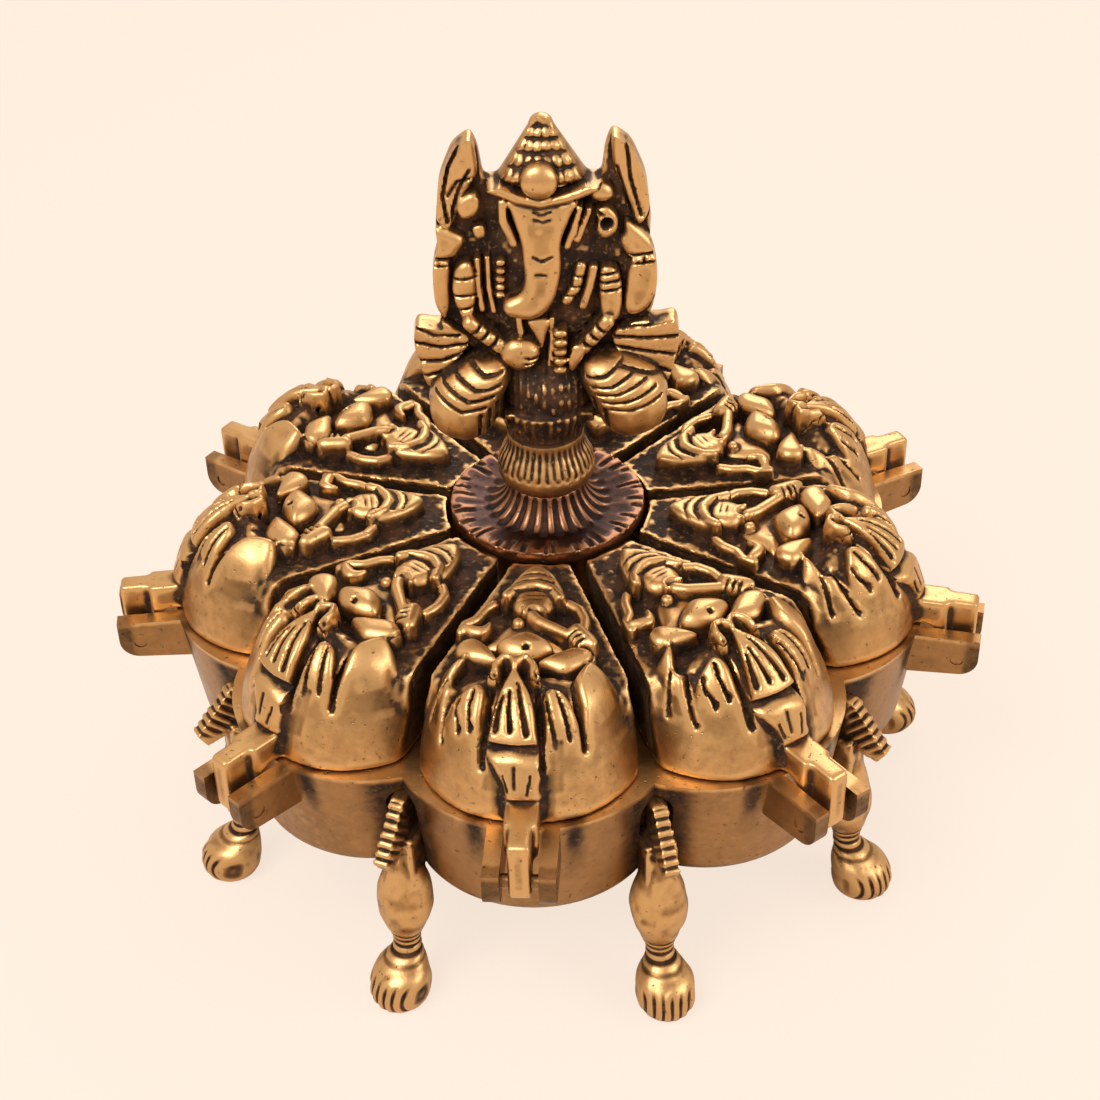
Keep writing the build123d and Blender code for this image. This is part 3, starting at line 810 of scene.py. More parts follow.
figure_forms = (
    # Ears
    (3.3, 1.2, [
        (-9.8, 127.2), (-11.8, 126.6), (-13.9, 124.6), (-15.4, 121.0), (-16.0, 116.6), (-15.7, 112.6),
        (-14.0, 111.2), (-12.8, 113.4), (-10.6, 118.2), (-9.2, 120.6), (-9.4, 124.4),
    ]),
    (3.3, 1.2, [
        (12.0, 127.4), (14.0, 126.2), (16.0, 122.8), (17.0, 118.2), (16.8, 113.6), (15.2, 111.4),
        (13.8, 114.8), (12.2, 118.8), (11.2, 122.4), (11.2, 126.4),
    ]),
    # Sleeves and outer arms
    (3.7, 1.3, [
        (-16.2, 111.8), (-13.8, 111.4), (-11.6, 109.8), (-12.8, 107.4), (-14.3, 106.3), (-16.8, 106.4),
    ]),
    (3.3, 1.0, [
        (-16.9, 105.7), (-14.3, 105.6), (-14.3, 101.1), (-14.5, 97.7), (-15.4, 95.6), (-16.9, 98.6),
        (-17.2, 102.4),
    ]),
    (3.7, 1.3, [
        (13.2, 112.3), (15.2, 111.1), (17.4, 108.6), (18.0, 106.4), (14.2, 105.8), (12.3, 108.6),
        (13.0, 110.3),
    ]),
    (3.4, 1.1, [
        (18.1, 105.5), (18.2, 101.1), (16.8, 97.0), (14.6, 95.6), (12.9, 96.6), (13.1, 100.4), (14.2, 104.9),
    ]),
    # Left ear's lobes
    (3.9, 1.0, [(-12.6, 116.0), (-10.3, 117.7), (-8.9, 116.6), (-9.5, 114.2), (-11.8, 113.4)]),
    (3.2, 0.7, [(-10.4, 111.6), (-8.6, 112.0), (-8.3, 110.2), (-9.8, 109.6)]),
    # Inner arms
    (4.2, 1.1, [
        (-12.9, 105.4), (-10.8, 105.8), (-10.2, 101.6), (-10.6, 97.4), (-11.7, 94.6), (-13.5, 98.3),
        (-13.9, 102.1),
    ]),
    (4.2, 1.1, [(9.4, 104.5), (11.9, 104.0), (12.7, 99.7), (12.0, 95.4), (9.6, 95.4), (9.0, 100.2)]),
    # Scarves
    (3.4, 0.8, [
        (-21.2, 94.5), (-20.2, 96.8), (-18.0, 96.1), (-15.6, 95.4), (-13.6, 93.8), (-11.6, 92.3),
        (-12.2, 90.0), (-13.9, 87.7), (-16.8, 83.8), (-18.8, 83.4), (-20.0, 88.3),
    ]),
    (3.5, 0.8, [
        (21.7, 96.8), (22.3, 93.3), (21.7, 88.6), (20.0, 83.4), (17.0, 84.4), (12.2, 88.2), (11.2, 92.7),
        (14.8, 94.4), (18.6, 95.2),
    ]),
    # Knees
    (9.0, 5.2, [
        (-6.0, 89.0), (-9.6, 89.4), (-13.9, 87.8), (-17.4, 84.9), (-18.9, 80.6), (-17.6, 76.4), (-13.4, 74.4),
        (-9.6, 75.4), (-7.6, 78.4), (-6.6, 82.0), (-5.4, 85.6),
    ]),
    (9.0, 5.2, [
        (6.6, 88.6), (10.6, 89.6), (15.2, 88.4), (18.8, 85.6), (20.2, 81.0), (18.8, 76.6), (14.6, 74.4),
        (10.6, 75.4), (8.6, 78.4), (7.0, 82.0), (5.8, 85.6),
    ]),
    # Hands and pendant
    (6.6, 2.0, [
        (-6.8, 90.7), (-5.5, 92.6), (-3.2, 93.0), (-0.5, 91.5), (-1.2, 88.3), (-4.1, 87.3), (-6.3, 88.8),
    ]),
    (5.9, 0.8, [(4.7, 91.6), (6.9, 91.4), (6.2, 89.2), (4.6, 86.9), (3.9, 88.6)]),
    (5.4, 0.9, [(-2.3, 96.2), (1.1, 96.2), (0.6, 93.4), (-0.2, 91.0), (-1.2, 93.4)]),
    # Right ear's lobes
    (4.0, 1.3, [(7.9, 117.6), (9.2, 119.0), (11.0, 118.2), (11.4, 116.6), (9.9, 115.7), (8.2, 116.2)]),
    (3.8, 1.0, [
        (8.6, 114.4), (10.6, 114.8), (12.0, 113.0), (11.8, 110.6), (10.1, 109.4), (8.7, 110.6), (8.9, 112.6),
    ]),
)
figure_strands = (
    (5.0, 0.75, [(-5.5, 116.6), (-5.5, 113.4), (-4.0, 109.6)]),
    (4.9, 0.6, [(6.1, 115.2), (5.2, 111.6), (4.1, 108.9)]),
    (4.5, 0.55, [(7.5, 114.8), (6.6, 112.2), (5.7, 109.8)]),
    (3.5, 0.55, [(-9.8, 106.2), (-9.8, 101.6), (-9.4, 97.4)]),
    (3.4, 0.5, [(-8.3, 106.4), (-8.2, 101.5), (-7.6, 97.0)]),
    (3.9, 1.0, [(6.2, 104.5), (5.4, 101.2), (3.9, 98.8)]),
    (4.0, 0.75, [(8.2, 104.4), (7.5, 101.1), (6.5, 97.8)]),
    (5.4, 1.25, [(-11.4, 95.6), (-9.0, 93.2), (-6.8, 91.4)]),
    (5.4, 1.25, [(10.2, 95.4), (8.2, 92.8), (6.4, 90.8)]),
    (5.0, 0.5, [(1.5, 96.2), (1.5, 92.0), (1.0, 87.8)]),
    (4.6, 0.6, [(-3.7, 96.3), (-3.4, 93.4)]),
)
figure_beads = (
    (4.2, 0.85, 0.62, [(-6.2, 105.9), (-6.25, 104.5), (-6.3, 103.0), (-6.35, 101.6), (-6.4, 100.2)]),
    (6.4, 1.15, 0.72, [(2.8, 94.2), (2.8, 92.5), (2.75, 90.8), (2.7, 89.1), (2.65, 87.5)]),
    (4.0, 0.5, 0.5, [(-16.2, 106.0), (-15.2, 106.0), (-14.6, 106.0)]),
    (4.0, 0.5, 0.5, [(14.5, 105.6), (15.5, 105.8), (16.6, 105.9), (17.5, 106.0)]),
)
figure_cuts = (
    # Ears
    (0.8, 0.3, [(-11.6, 126.0), (-13.6, 121.9), (-14.6, 117.2), (-14.1, 112.6)]),
    (0.8, 0.28, [(-10.4, 121.4), (-12.0, 118.6), (-13.2, 115.0), (-13.2, 113.2)]),
    (0.7, 0.25, [(-10.2, 120.0), (-12.3, 119.6), (-13.9, 117.0)]),
    (0.8, 0.3, [(13.3, 125.6), (13.9, 119.6), (15.6, 113.0)]),
    (0.8, 0.28, [(11.9, 121.4), (13.2, 116.5), (14.4, 112.6)]),
    # Sleeves' rims and bangles
    (0.8, 0.26, [(-17.0, 106.7), (-13.9, 106.6)]),
    (0.8, 0.26, [(-17.2, 105.3), (-14.0, 105.3)]),
    (0.8, 0.26, [(14.0, 106.5), (18.2, 107.0)]),
    (0.8, 0.26, [(14.0, 104.9), (18.3, 105.2)]),
    (0.8, 0.3, [(-13.6, 103.2), (-10.2, 103.4)]),
    (0.8, 0.3, [(-14.0, 100.2), (-10.4, 100.3)]),
    (0.7, 0.3, [(-13.4, 97.6), (-10.6, 98.2)]),
    (0.8, 0.3, [(8.9, 103.2), (12.0, 103.8)]),
    (0.8, 0.3, [(8.9, 101.9), (12.4, 102.3)]),
    (0.8, 0.3, [(9.0, 100.5), (12.6, 100.9)]),
    # Scarves' folds
    (0.9, 0.28, [(-20.4, 94.6), (-17.4, 92.9), (-13.2, 92.7)]),
    (1.0, 0.34, [(-20.2, 91.6), (-16.4, 90.7), (-12.0, 91.2)]),
    (1.0, 0.34, [(-19.8, 88.2), (-15.8, 88.3), (-12.1, 89.9)]),
    (0.9, 0.3, [(-19.2, 85.4), (-15.9, 86.2), (-12.8, 88.4)]),
    (0.9, 0.28, [(21.6, 95.0), (17.0, 93.9), (12.2, 93.5)]),
    (1.0, 0.34, [(22.0, 91.9), (16.7, 91.6), (11.4, 92.0)]),
    (1.0, 0.34, [(21.4, 88.4), (16.3, 89.2), (11.6, 90.2)]),
    (0.9, 0.3, [(20.4, 85.2), (16.0, 87.0), (12.0, 88.5)]),
    # Stripes over and under the knees
    (0.8, 0.42, [(-12.0, 89.2), (-9.3, 87.6), (-6.6, 87.9)]),
    (0.9, 0.45, [(-14.2, 87.4), (-10.9, 85.5), (-7.0, 85.8)]),
    (0.9, 0.45, [(-16.0, 85.8), (-12.1, 83.6), (-8.2, 84.0)]),
    (0.8, 0.4, [(-17.2, 84.2), (-13.3, 81.8), (-9.6, 82.2)]),
    (0.7, 0.32, [(7.0, 86.8), (9.8, 87.3), (12.6, 89.0)]),
    (0.7, 0.32, [(7.7, 85.3), (10.9, 85.7), (14.5, 87.6)]),
    (0.7, 0.32, [(8.6, 83.9), (12.0, 84.4), (16.3, 86.3)]),
    (0.7, 0.32, [(9.6, 82.6), (13.2, 82.9), (17.8, 84.9)]),
    (0.6, 0.3, [(10.7, 81.4), (13.9, 81.4), (18.8, 83.2)]),
    (0.9, 0.36, [(-10.3, 80.8), (-10.7, 76.0)]),
    (0.9, 0.36, [(-8.8, 81.6), (-9.3, 76.2)]),
    (0.8, 0.34, [(-7.5, 82.6), (-8.0, 77.4)]),
    (0.8, 0.34, [(7.9, 83.0), (8.8, 78.4)]),
    (0.9, 0.36, [(9.7, 81.2), (10.5, 76.0)]),
    # Fingers, bracelets and sash
    (0.6, 0.3, [(-0.6, 89.7), (-2.6, 90.0)]),
    (0.6, 0.3, [(-1.0, 88.7), (-2.8, 88.9)]),
    (0.9, 0.34, [(-11.0, 93.9), (-9.4, 95.6)]),
    (0.9, 0.34, [(-9.9, 92.6), (-8.2, 94.4)]),
    (0.9, 0.34, [(-8.4, 91.2), (-6.9, 93.2)]),
    (0.9, 0.34, [(9.9, 93.6), (8.2, 95.2)]),
    (0.9, 0.34, [(8.9, 92.2), (7.1, 93.8)]),
    (0.9, 0.34, [(7.9, 90.8), (6.1, 92.4)]),
    (0.5, 0.26, [(5.0, 103.2), (7.0, 102.8)]),
    (0.5, 0.26, [(4.4, 101.4), (6.6, 101.0)]),
    (0.5, 0.26, [(3.6, 99.8), (5.8, 99.4)]),
    # Brow and trunk
    (0.3, 0.22, [(-0.9, 115.3), (0.4, 114.8), (1.8, 115.3)]),
    (0.3, 0.22, [(-0.8, 114.1), (0.5, 113.6), (1.8, 114.1)]),
    (0.35, 0.24, [(-1.2, 107.9), (0.2, 107.1), (1.8, 107.9)]),
    (0.3, 0.2, [(-1.0, 104.9), (0.9, 104.8)]),
    # Right ear's hollow
    (2.2, 1.0, [(10.2, 112.0), (10.4, 112.3)]),
    (1.2, 0.35, [(8.6, 114.2), (9.6, 113.6)]),
)
face_outline = [
    (-5.0, 117.0), (-4.4, 114.9), (-3.1, 110.3), (-2.7, 106.2), (-2.6, 103.4), (-3.4, 101.4), (-5.8, 99.9),
    (-5.6, 97.9), (-2.4, 96.9), (0.0, 97.7), (1.9, 100.0), (3.1, 105.0), (3.3, 109.9), (4.8, 113.9),
    (5.8, 116.8), (0.3, 116.6),
]
brim_line = [(-7.2, 119.0), (-3.3, 117.3), (0.2, 116.6), (4.3, 117.3), (8.4, 118.8)]
figure_jewels = ((6.3, 1.6, 2.9, (0.1, 120.0)), (5.9, 0.3, 0.8, (-0.1, 112.0)))


def mound(spots, at, wide, tall):
    """A rounded form, 1 at its middle and 0 at its oval edge."""
    share = ((spots[:, 0] - at[0]) / wide) ** 2 + ((spots[:, 1] - at[1]) / tall) ** 2
    return np.sqrt(np.clip(1 - share, 0, 1))


def crown_surface(across, height):
    """The crown's depth in tiers with fewer ribs the higher they are, its patina and where it stands."""
    wide = np.interp(height, CROWN_LEVELS, CROWN_WIDTHS)
    share = np.clip(across / wide, -1, 1)
    tier = np.interp(height, CROWN_ROWS, range(len(CROWN_ROWS)))
    swell = np.sin(math.pi * np.clip(tier % 1, 0, 1)) ** 0.6
    ribs = waves(np.arcsin(share) * (CROWN_RIBS - 3 * np.floor(tier)), 3)
    depth = 0.62 * wide * np.sqrt(1 - share**2) - 0.7 + 0.85 * swell - 0.3 * ribs * swell
    stands = (np.abs(across) < wide) & (height > CROWN_ROWS[0] - 0.4)
    return depth, 0.8 * np.clip(np.clip(1.15 - swell, 0, 1) + 0.4 * ribs, 0, 1), stands


def figure_rises(spots):
    """The forms that stand up on the figure, as their crowns' depth, their shares and their edges."""
    across, height = spots[:, 0] - FIGURE_MIDDLE, spots[:, 1]
    brim_depth = 5.2 + 1.6 * (1 - np.abs(across) / 9) * 0.4
    face_depth = 5.5 + 0.075 * (116 - height)
    yield brim_depth, strand(spots, brim_line, 0.75), 0.7
    yield face_depth, pillow(spots, face_outline, 1.5), 1.5
    for crown, edge, outline in figure_forms:
        yield crown, pillow(spots, outline, edge), edge
    for crown, wide, line in figure_strands:
        yield crown, strand(spots, line, wide), wide
    for crown, wide, tall, places in figure_beads:
        for at in places:
            yield crown, mound(spots, at, wide, tall), tall
    for crown, edge, radius, at in figure_jewels:
        yield crown, mound(spots, at, radius, radius), edge
    wide, deep, tall = KNEE_SIZE
    for at in KNEES:
        yield KNEE_AHEAD + deep, mound(spots, at, wide, tall), deep


def figure_surface(spots):
    """The figure's depth at places of its drawing, and how much patina lies there."""
    across, height = spots[:, 0] - FIGURE_MIDDLE, spots[:, 1]
    column = np.sqrt(np.clip(SEAT_RADIUS**2 - across**2, 0, None)) * (1 - smooth_step(height, *SEAT_FADES))
    flutes = waves(np.arcsin(np.clip(across / SEAT_SIDE, -1, 1)) * SEAT_FLUTES)
    column -= (0.3 * flutes + 0.3 * lumps(spots, 1.3, 9)) * (column > 1)
    torso = TORSO_DEPTH * mound(spots, TORSO_MIDDLE, *TORSO_SIZE)
    depth = np.maximum(PLATE_GROUND, np.maximum(torso, column))
    patina = 1 + 0.7 * (column > torso)
    crown, crown_patina, stands = crown_surface(across, height)
    depth = np.where(stands, np.maximum(crown, depth), depth) + rough_casting(spots)
    patina = np.where(stands, crown_patina, patina)
    for crown, form, edge in figure_rises(spots):
        depth = np.where(form > 0, np.maximum(depth, crown - edge * (1 - form)), depth)
        patina = patina * (1 - smooth_step(form, *FORM_RUBBED))
    for deep, wide, line in figure_cuts:
        cut = strand(spots, line, wide, None, 1.0)
        depth -= deep * cut
        patina = np.maximum(patina, smooth_step(cut, *CUT_DARK) * min(1, deep + 0.2))
    return depth + 0.07 * lumps(spots, 1.9, 6), patina


def figure_places(points):
    """Places of the figure's drawing, how far ahead of its plane each point lies, and the way it faces."""
    side = np.array([math.cos(FIGURE_TURN), math.sin(FIGURE_TURN)])
    front = np.array([math.sin(FIGURE_TURN), -math.cos(FIGURE_TURN)])
    return np.stack([points[:, :2] @ side, points[:, 2]], 1), points[:, :2] @ front, front


def round_tips(figure):
    """Rounds the tips of the ears and of the scarves."""
    points, _ = read(figure)
    spots, _, _ = figure_places(points)
    aside, height = np.abs(spots[:, 0] - FIGURE_MIDDLE), spots[:, 1]
    tips = smooth_step(aside, 8.0, 9.5) * smooth_step(height, 116, 120)
    tips += smooth_step(aside, 16.5, 18.5) * (height > 84)
    rounder = averaged(points, neighbours(figure), TIP_ROUNDS)
    write(figure, points + (rounder - points) * tips[:, None])


def carve_front(figure):
    """Draws the figure's front on its skin."""
    points, normals = read(figure)
    spots, ahead, front = figure_places(points)
    depth, _ = figure_surface(spots)
    aside, height = np.abs(spots[:, 0] - FIGURE_MIDDLE), spots[:, 1]
    drawn = (height > SEAT_TOP) | ((aside > SEAT_SIDE) & (height > KNEES_FROM))
    toward = normals[:, :2] @ front
    faces = (toward > 0.3) | ((ahead > RELIEF_FRONT) & (toward > -0.2))
    thinned = np.minimum(ahead, np.maximum(depth, PLATE_LEAST))
    wanted = np.where(faces & (ahead > PLATE_FRONT), depth, thinned)
    points[:, :2] += np.outer((wanted - ahead) * drawn, front)
    write(figure, points)


def carve_seat(figure):
    """Flutes the lotus seat and the foot below it."""
    points, _ = read(figure)
    radius = np.hypot(points[:, 0], points[:, 1])
    angle = np.arctan2(points[:, 1], points[:, 0])
    z = points[:, 2]
    seat = band(z, *SEAT_HEIGHTS) * (radius < SEAT_RADIUS + 1.4)
    foot = band(z, *FOOT_HEIGHTS) * (radius < SEAT_RADIUS + 1.8)
    dots = np.exp(-((z - FOOT_LINE) / 0.3) ** 2)
    neck = np.exp(-((z - NECK_LINE) / 0.25) ** 2)
    around = np.stack([8 * angle, z], 1)
    inward = seat * (0.34 * waves(angle * SEAT_FLUTES) + 0.3 * lumps(around, 1.2, 10))
    inward += foot * (0.26 * waves(angle * FOOT_FLUTES, 1.5) + 0.1 * lumps(around, 1.0, 11))
    inward += 0.3 * dots * waves(angle * FOOT_DOTS) + 0.35 * neck
    inward *= z < SEAT_TOP + 1
    points[:, :2] -= (inward / np.maximum(radius, 1))[:, None] * points[:, :2]
    write(figure, points)


def figure_patina(piece):
    """How dark each point of the figure's drawn front and of its seat lies."""
    points, normals = read(piece)
    spots, ahead, front = figure_places(points)
    aside, height = np.abs(spots[:, 0] - FIGURE_MIDDLE), spots[:, 1]
    _, patina = figure_surface(spots)
    on_front = smooth_step(normals[:, :2] @ front, -0.2, 0.3) * (ahead > 0)
    low = (height < SEAT_TOP) & (aside < SEAT_SIDE + 0.2)
    seat = smooth_step(height, 72.5, 74.0) + 0.5 * smooth_step(height, 66.8, 67.6)
    return np.where(low, seat, patina * on_front)


# Legs, disc and tray

LEG_TURN = math.radians(-70)
ANKLE_RINGS = (7.4, 8.6, 12.6, 14.0)
RING_PITCH = 1.3
TOE_PITCH = 1.5
SPUR_PITCH = 1.5
RIM_NOTCHES = 36
NOTCH_END = 13.0
CONE_FLUTES = 24
CONE_RADII = (5.8, 6.6, 9.4, 11.4)
EAR_SIDE = 7.6


def carve_leg(leg):
    """Rings the first leg's ankle, ridges its toes and its spur, and tells how dark each point lies."""
    points, normals = read(leg)
    away = np.array([math.cos(LEG_TURN), math.sin(LEG_TURN)])
    aside = np.array([-away[1], away[0]])
    r, s, z = points[:, :2] @ away, points[:, :2] @ aside, points[:, 2]
    off_sole = smooth_step(z, 0.3, 1.2)
    rings = band(z, *ANKLE_RINGS) * ridged(z, RING_PITCH)
    toes = (1 - smooth_step(z, 4.6, 6.4)) * smooth_step(r, 61.5, 63.5) * ridged(s + 0.25 * r, TOE_PITCH)
    spur = smooth_step(z, 31.5, 33.0) * smooth_step(r, 58.4, 60.0) * ridged(0.7 * (r - z), SPUR_PITCH)
    cuts = np.maximum.reduce([rings, toes, spur]) * off_sole
    uneven = 0.16 * lumps(np.stack([s + r, z], 1), 2.1, 8) * off_sole
    points = points - normals * (0.32 * cuts + uneven)[:, None]
    points[:, 2] = np.maximum(points[:, 2], 0)
    write(leg, points)
    relax(leg, 1)
    return 0.35 * cuts + 0.12 * smooth_step(z, 26, 34) * (1 - smooth_step(r, 57.5, 60.0))


def carve_disc(disc):
    """Notches the disc's rim, flutes its cone and tells how dark each point lies."""
    points, normals = read(disc)
    radius = np.hypot(points[:, 0], points[:, 1])
    angle = np.arctan2(points[:, 1], points[:, 0])
    on_top = smooth_step(normals[:, 2], 0.1, 0.4)
    notch = np.zeros(len(points))
    for k in range(RIM_NOTCHES):
        wobble = math.sin(2.4 * k)
        at = (k + 0.3 * wobble) * 2 * math.pi / RIM_NOTCHES
        aside = np.abs((angle - at + math.pi) % (2 * math.pi) - math.pi) * radius
        inner_end = NOTCH_END + 1.3 * wobble
        half_width = 0.5 + 0.16 * math.sin(5.1 * k)
        reach = smooth_step(radius, inner_end, inner_end + 1.6)
        notch = np.maximum(notch, np.clip(1 - (aside / half_width) ** 2, 0, 1) * reach)
    around = band(radius, *CONE_RADII)
    flutes = around * waves(angle * CONE_FLUTES, 1)
    scratches = lumps(np.stack([9 * angle, 0.12 * radius], 1), 0.8, 12)
    inward = (0.4 * notch + 0.48 * flutes**1.4 + 0.05 * scratches) * on_top
    write(disc, points - normals * inward[:, None])
    rim = smooth_step(radius, 15.0, 16.1) * (1 - notch) + 0.5 * around * (1 - flutes) ** 2 * on_top
    return on_top * (0.1 + 0.5 * notch + 0.4 * flutes + 0.1 * scratches) - 0.34 * rim


def tray_darkening_and_painted_highlight(graph):
    """Darker beside the tray's ears, in its valleys and towards its bottom, patina at its ears' ends, and a
    painted highlight along the top of its rim and ears.
    """
    radius, angle, height = graph.round_axis()
    swing = graph.math("PINGPONG", angle + math.pi / 2, sector / 2)
    beside = 1 - graph.math("ABSOLUTE", swing * radius - EAR_SIDE).step(0.2, 2.4)
    streak = beside * height.step(30, 42) * radius.step(58, 61) * 0.36
    valley = swing.step(0.225, 0.30) * (1 - height.step(42, 43)) * 0.36
    under = (1 - height.step(22.9, 25.0)) * 0.22
    worn_end = radius.step(71.5, 73.0) * 0.2
    # Painted highlight: a band along the top of the rim and the ears is made lighter.
    bright = height.step(42.4, 43.2) * radius.step(50, 56) * 0.2
    return streak + valley + under + worn_end - bright


class SINDOOR_OT_lids(Operator):
    """Skins, carves and copies the nine lids"""

    bl_idname = "sindoor.lids"
    bl_label = "Lids"

    def execute(self, context):
        sizes = context.scene.sindoor_castings
        first = copy_solid("carved_lid_1", "lid_1")
        fuse(first, sizes.lid_voxel)
        relax(first, 2)
        carve_lid(first, sizes.lid_voxel)
        carve_tail(first)
        relax(first, 1)
        mark_hollows(first, lid_patina_and_gap_shade(first))
        brass = antique_brass("lid_brass", context.scene.sindoor_colours, rubbed=0.33)
        for k, lid in ring_of(first, "carved_lid"):
            finish_piece(lid, f"lid_{k}", brass, f"lid_{k}")
        return {"FINISHED"}


class SINDOOR_OT_legs(Operator):
    """Skins, rings and copies the nine legs"""

    bl_idname = "sindoor.legs"
    bl_label = "Legs"

    def execute(self, context):
        first = copy_solid("cast_leg_1", "leg_1")
        fuse(first, context.scene.sindoor_castings.leg_voxel)
        relax(first, 2)
        mark_hollows(first, carve_leg(first))
        brass = antique_brass("leg_brass", context.scene.sindoor_colours, rubbed=0.15)
        for k, leg in ring_of(first, "cast_leg"):
            finish_piece(leg, "box", brass, f"leg_{k}")
        return {"FINISHED"}


class SINDOOR_OT_tray(Operator):
    """Gives the tray, its post and nut and the hinge pins their brass, darkened by place and with a painted
    highlight along the tray's top
    """

    bl_idname = "sindoor.tray"
    bl_label = "Tray"

    def execute(self, context):
        brass = antique_brass("tray_brass", context.scene.sindoor_colours, rubbed=0.15, by_place_darkening_and_painted_highlight=tray_darkening_and_painted_highlight)
        pins = (f"hinge_pin_{k}" for k in range(1, lid_count + 1))
        for node in ("tray", "centre_post", "post_nut", *pins):
            paint(frame["nodes"][node], brass)
        return {"FINISHED"}


class SINDOOR_OT_disc(Operator):
    """Skins, notches and flutes the disc"""

    bl_idname = "sindoor.disc"
    bl_label = "Disc"

    def execute(self, context):
        colours = context.scene.sindoor_colours
        disc = copy_solid("fluted_disc", "retaining_disc")
        fuse(disc, context.scene.sindoor_castings.disc_voxel)
        relax(disc, 2)
        mark_hollows(disc, carve_disc(disc))
        tones = {"ground": tuple(colours.disc_ground), "polished": tuple(colours.copper)}
        brass = antique_brass("disc_brass", colours, rubbed=0.0, **tones)
        finish_piece(disc, "disc", brass, "retaining_disc")
        return {"FINISHED"}


class SINDOOR_OT_figure(Operator):
    """Skins and carves the finial's figure"""

    bl_idname = "sindoor.figure"
    bl_label = "Figure"

    def execute(self, context):
        voxel = context.scene.sindoor_castings.figure_voxel
        figure = copy_solid("seated_figure", "figure_finial")
        turn = Matrix.Rotation(FIGURE_TURN, 3, "Z")
        spots = [turn @ Vector((across, -KNEE_AHEAD, height)) for across, height in KNEES]
        fuse(figure, voxel, [ball(at, KNEE_SIZE, FIGURE_TURN) for at in spots])
        round_tips(figure)
        carve_front(figure)
        fuse(figure, voxel)
        carve_front(figure)
        carve_seat(figure)
        relax(figure, 1)
        mark_hollows(figure, 0.55 * figure_patina(figure))
        brass = antique_brass("figure_brass", context.scene.sindoor_colours, rubbed=0.5)
        finish_piece(figure, "finial", brass, "figure_finial")
        return {"FINISHED"}


# Stage

SKY_AS_LAMP = 0.55
FLOOR_SIZE = 6
FLOOR_DROP = 0.05
FLOOR_GLOW = 0.86
FLOOR_PLAIN_FROM = (200, 600)
LAMPS_AIM = Vector((0, 0, 60))


def pale_surface(name, colour):
    """Pale paint that mostly glows for the camera, so that it looks even and keeps a faint shadow."""
    graph = Graph(bpy.data.materials.new(name))
    diffuse = graph.node("ShaderNodeBsdfDiffuse", {}, {"Color": (*colour, 1)}, "BSDF")
    glow = graph.node("ShaderNodeEmission", {}, {"Color": (*colour, 1)}, "Emission")
    seen = graph.node("ShaderNodeLightPath", {}, {}, "Is Camera Ray")
    radius, _, _ = graph.round_axis()
    glowing = seen * (FLOOR_GLOW + (1 - FLOOR_GLOW) * radius.step(*FLOOR_PLAIN_FROM))
    return graph.end(graph.node("ShaderNodeMixShader", {}, {0: glowing, 1: diffuse, 2: glow}, "Shader"))


def pale_world(name, colour):
    """A sky of the backdrop's colour, full for the camera and for reflections and weaker as a lamp."""
    graph = Graph(bpy.data.worlds.new(name))
    camera, glossy, through = (
        graph.node("ShaderNodeLightPath", {}, {}, ray)
        for ray in ("Is Camera Ray", "Is Glossy Ray", "Is Transmission Ray")
    )
    seen = (camera + glossy + through).clamp()
    strength = seen * (1 - SKY_AS_LAMP) + SKY_AS_LAMP
    inputs = {"Color": (*colour, 1), "Strength": strength}
    glow = graph.node("ShaderNodeBackground", {}, inputs, "Background")
    return graph.end(glow, "ShaderNodeOutputWorld")


def area_lamp(name, at, size, power):
    """A soft white lamp that looks at the box's middle."""
    deselect()
    place = Vector(at) * MM
    bpy.ops.object.light_add(type="AREA", location=place)
    lamp = bpy.context.object
    lamp.name = name
    lamp.data.name = name
    lamp.data.shape = "RECTANGLE"
    lamp.data.size = size[0] * MM
    lamp.data.size_y = size[1] * MM
    lamp.data.energy = power
    aim = LAMPS_AIM * MM - place
    lamp.rotation_euler = aim.to_track_quat("-Z", "Y").to_euler()


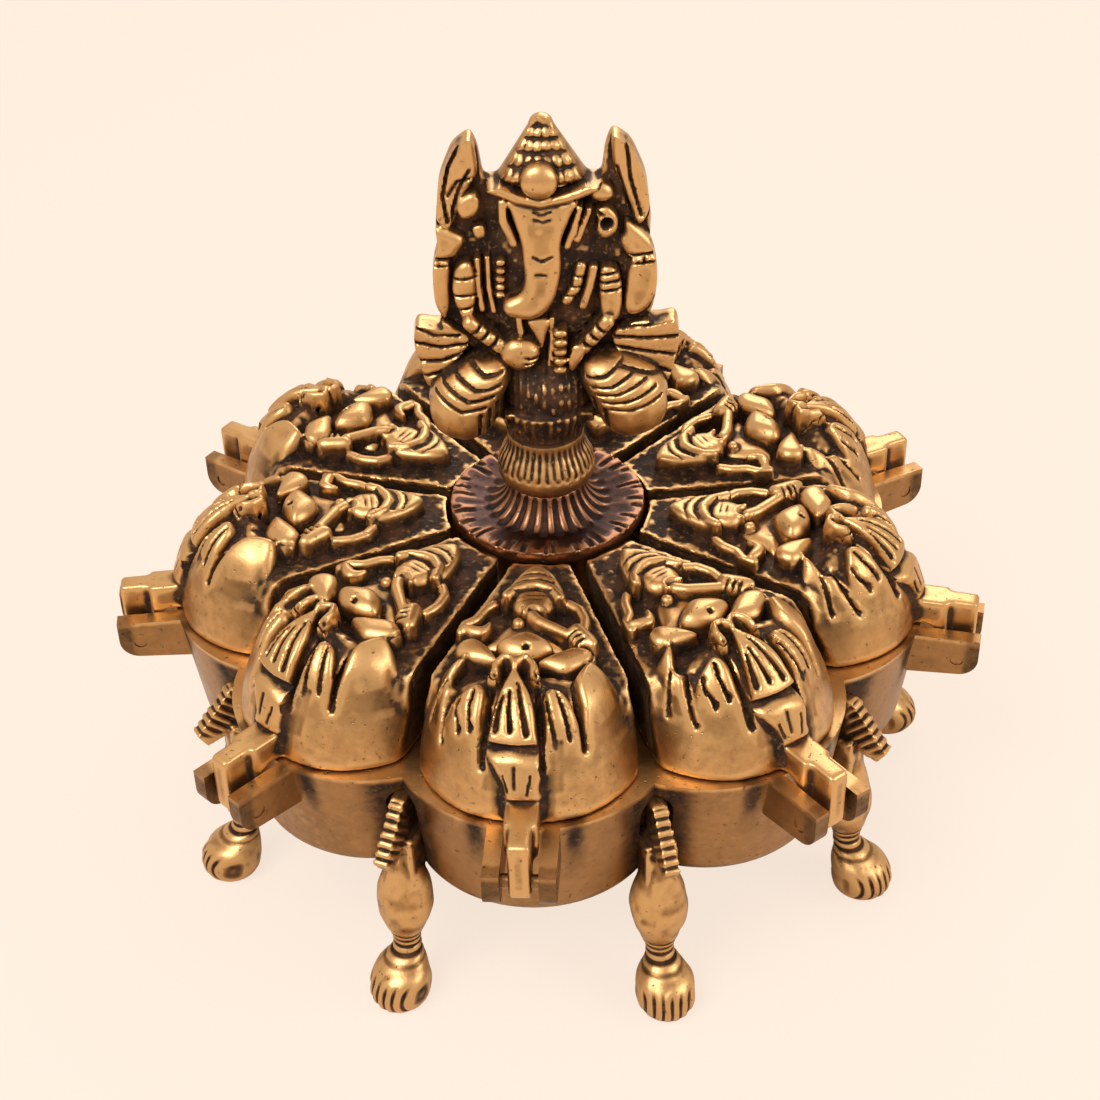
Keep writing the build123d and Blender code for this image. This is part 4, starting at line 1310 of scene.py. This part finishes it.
class SINDOOR_OT_stage(Operator):
    """Sets the floor, the backdrop, the lamps and the camera"""

    bl_idname = "sindoor.stage"
    bl_label = "Stage"

    def execute(self, context):
        settings = context.scene.sindoor_stage
        cream = tuple(settings.backdrop)
        deselect()
        bpy.ops.mesh.primitive_plane_add(size=FLOOR_SIZE, location=(0, 0, -FLOOR_DROP * MM))
        floor = context.object
        floor.name = "floor"
        floor.data.materials.append(pale_surface("pale_floor", cream))
        settle(floor)
        context.scene.world = pale_world("pale_world", cream)
        area_lamp("key_lamp", (-220, -320, 520), (320, 320), 2.6)
        area_lamp("fill_lamp", (420, -160, 300), (260, 260), 0.8)
        area_lamp("back_lamp", (60, 420, 380), (300, 200), 0.8)
        self.set_camera(context, settings)
        context.scene.view_settings.view_transform = "Standard"
        return {"FINISHED"}

    @staticmethod
    def set_camera(context, settings):
        """Stands the camera where it looks along its azimuth and elevation."""
        turn = Matrix.Rotation(math.radians(settings.azimuth), 4, "Z")
        turn = turn @ Matrix.Rotation(math.radians(90 - settings.elevation), 4, "X")
        turn = turn @ Matrix.Rotation(math.radians(settings.roll), 4, "Z")
        deselect()
        bpy.ops.object.camera_add()
        camera = context.object
        camera.name = "camera"
        camera.data.sensor_width = 36
        camera.data.lens = settings.lens
        camera.data.clip_start = 0.01
        camera.data.clip_end = 20
        camera.matrix_world = Matrix.Translation(Vector(settings.eye) * MM) @ turn
        context.scene.camera = camera


class SINDOOR_PT_panel(Panel):
    """Lists the box's pieces"""

    bl_idname = "SINDOOR_PT_panel"
    bl_label = "Sindoor Box"
    bl_space_type = "VIEW_3D"
    bl_region_type = "UI"
    bl_category = "Sindoor Box"

    def draw(self, context):
        for operator in operators:
            self.layout.operator(operator.bl_idname)


operators = (
    SINDOOR_OT_stage,
    SINDOOR_OT_tray,
    SINDOOR_OT_lids,
    SINDOOR_OT_legs,
    SINDOOR_OT_disc,
    SINDOOR_OT_figure,
)
groups = {
    "sindoor_castings": CastingSizes,
    "sindoor_colours": BrassColours,
    "sindoor_stage": StageSettings,
}


def register():
    for group in groups.values():
        bpy.utils.register_class(group)
    for operator in (*operators, SINDOOR_PT_panel):
        bpy.utils.register_class(operator)
    for name, group in groups.items():
        setattr(bpy.types.Scene, name, PointerProperty(type=group))


def unregister():
    for name in groups:
        delattr(bpy.types.Scene, name)
    for operator in (SINDOOR_PT_panel, *reversed(operators)):
        bpy.utils.unregister_class(operator)
    for group in groups.values():
        bpy.utils.unregister_class(group)


def main():
    """Makes every piece in order."""
    register()
    bpy.ops.sindoor.stage()
    bpy.ops.sindoor.tray()
    bpy.ops.sindoor.lids()
    bpy.ops.sindoor.legs()
    bpy.ops.sindoor.disc()
    bpy.ops.sindoor.figure()


if __name__ == "__main__":
    main()
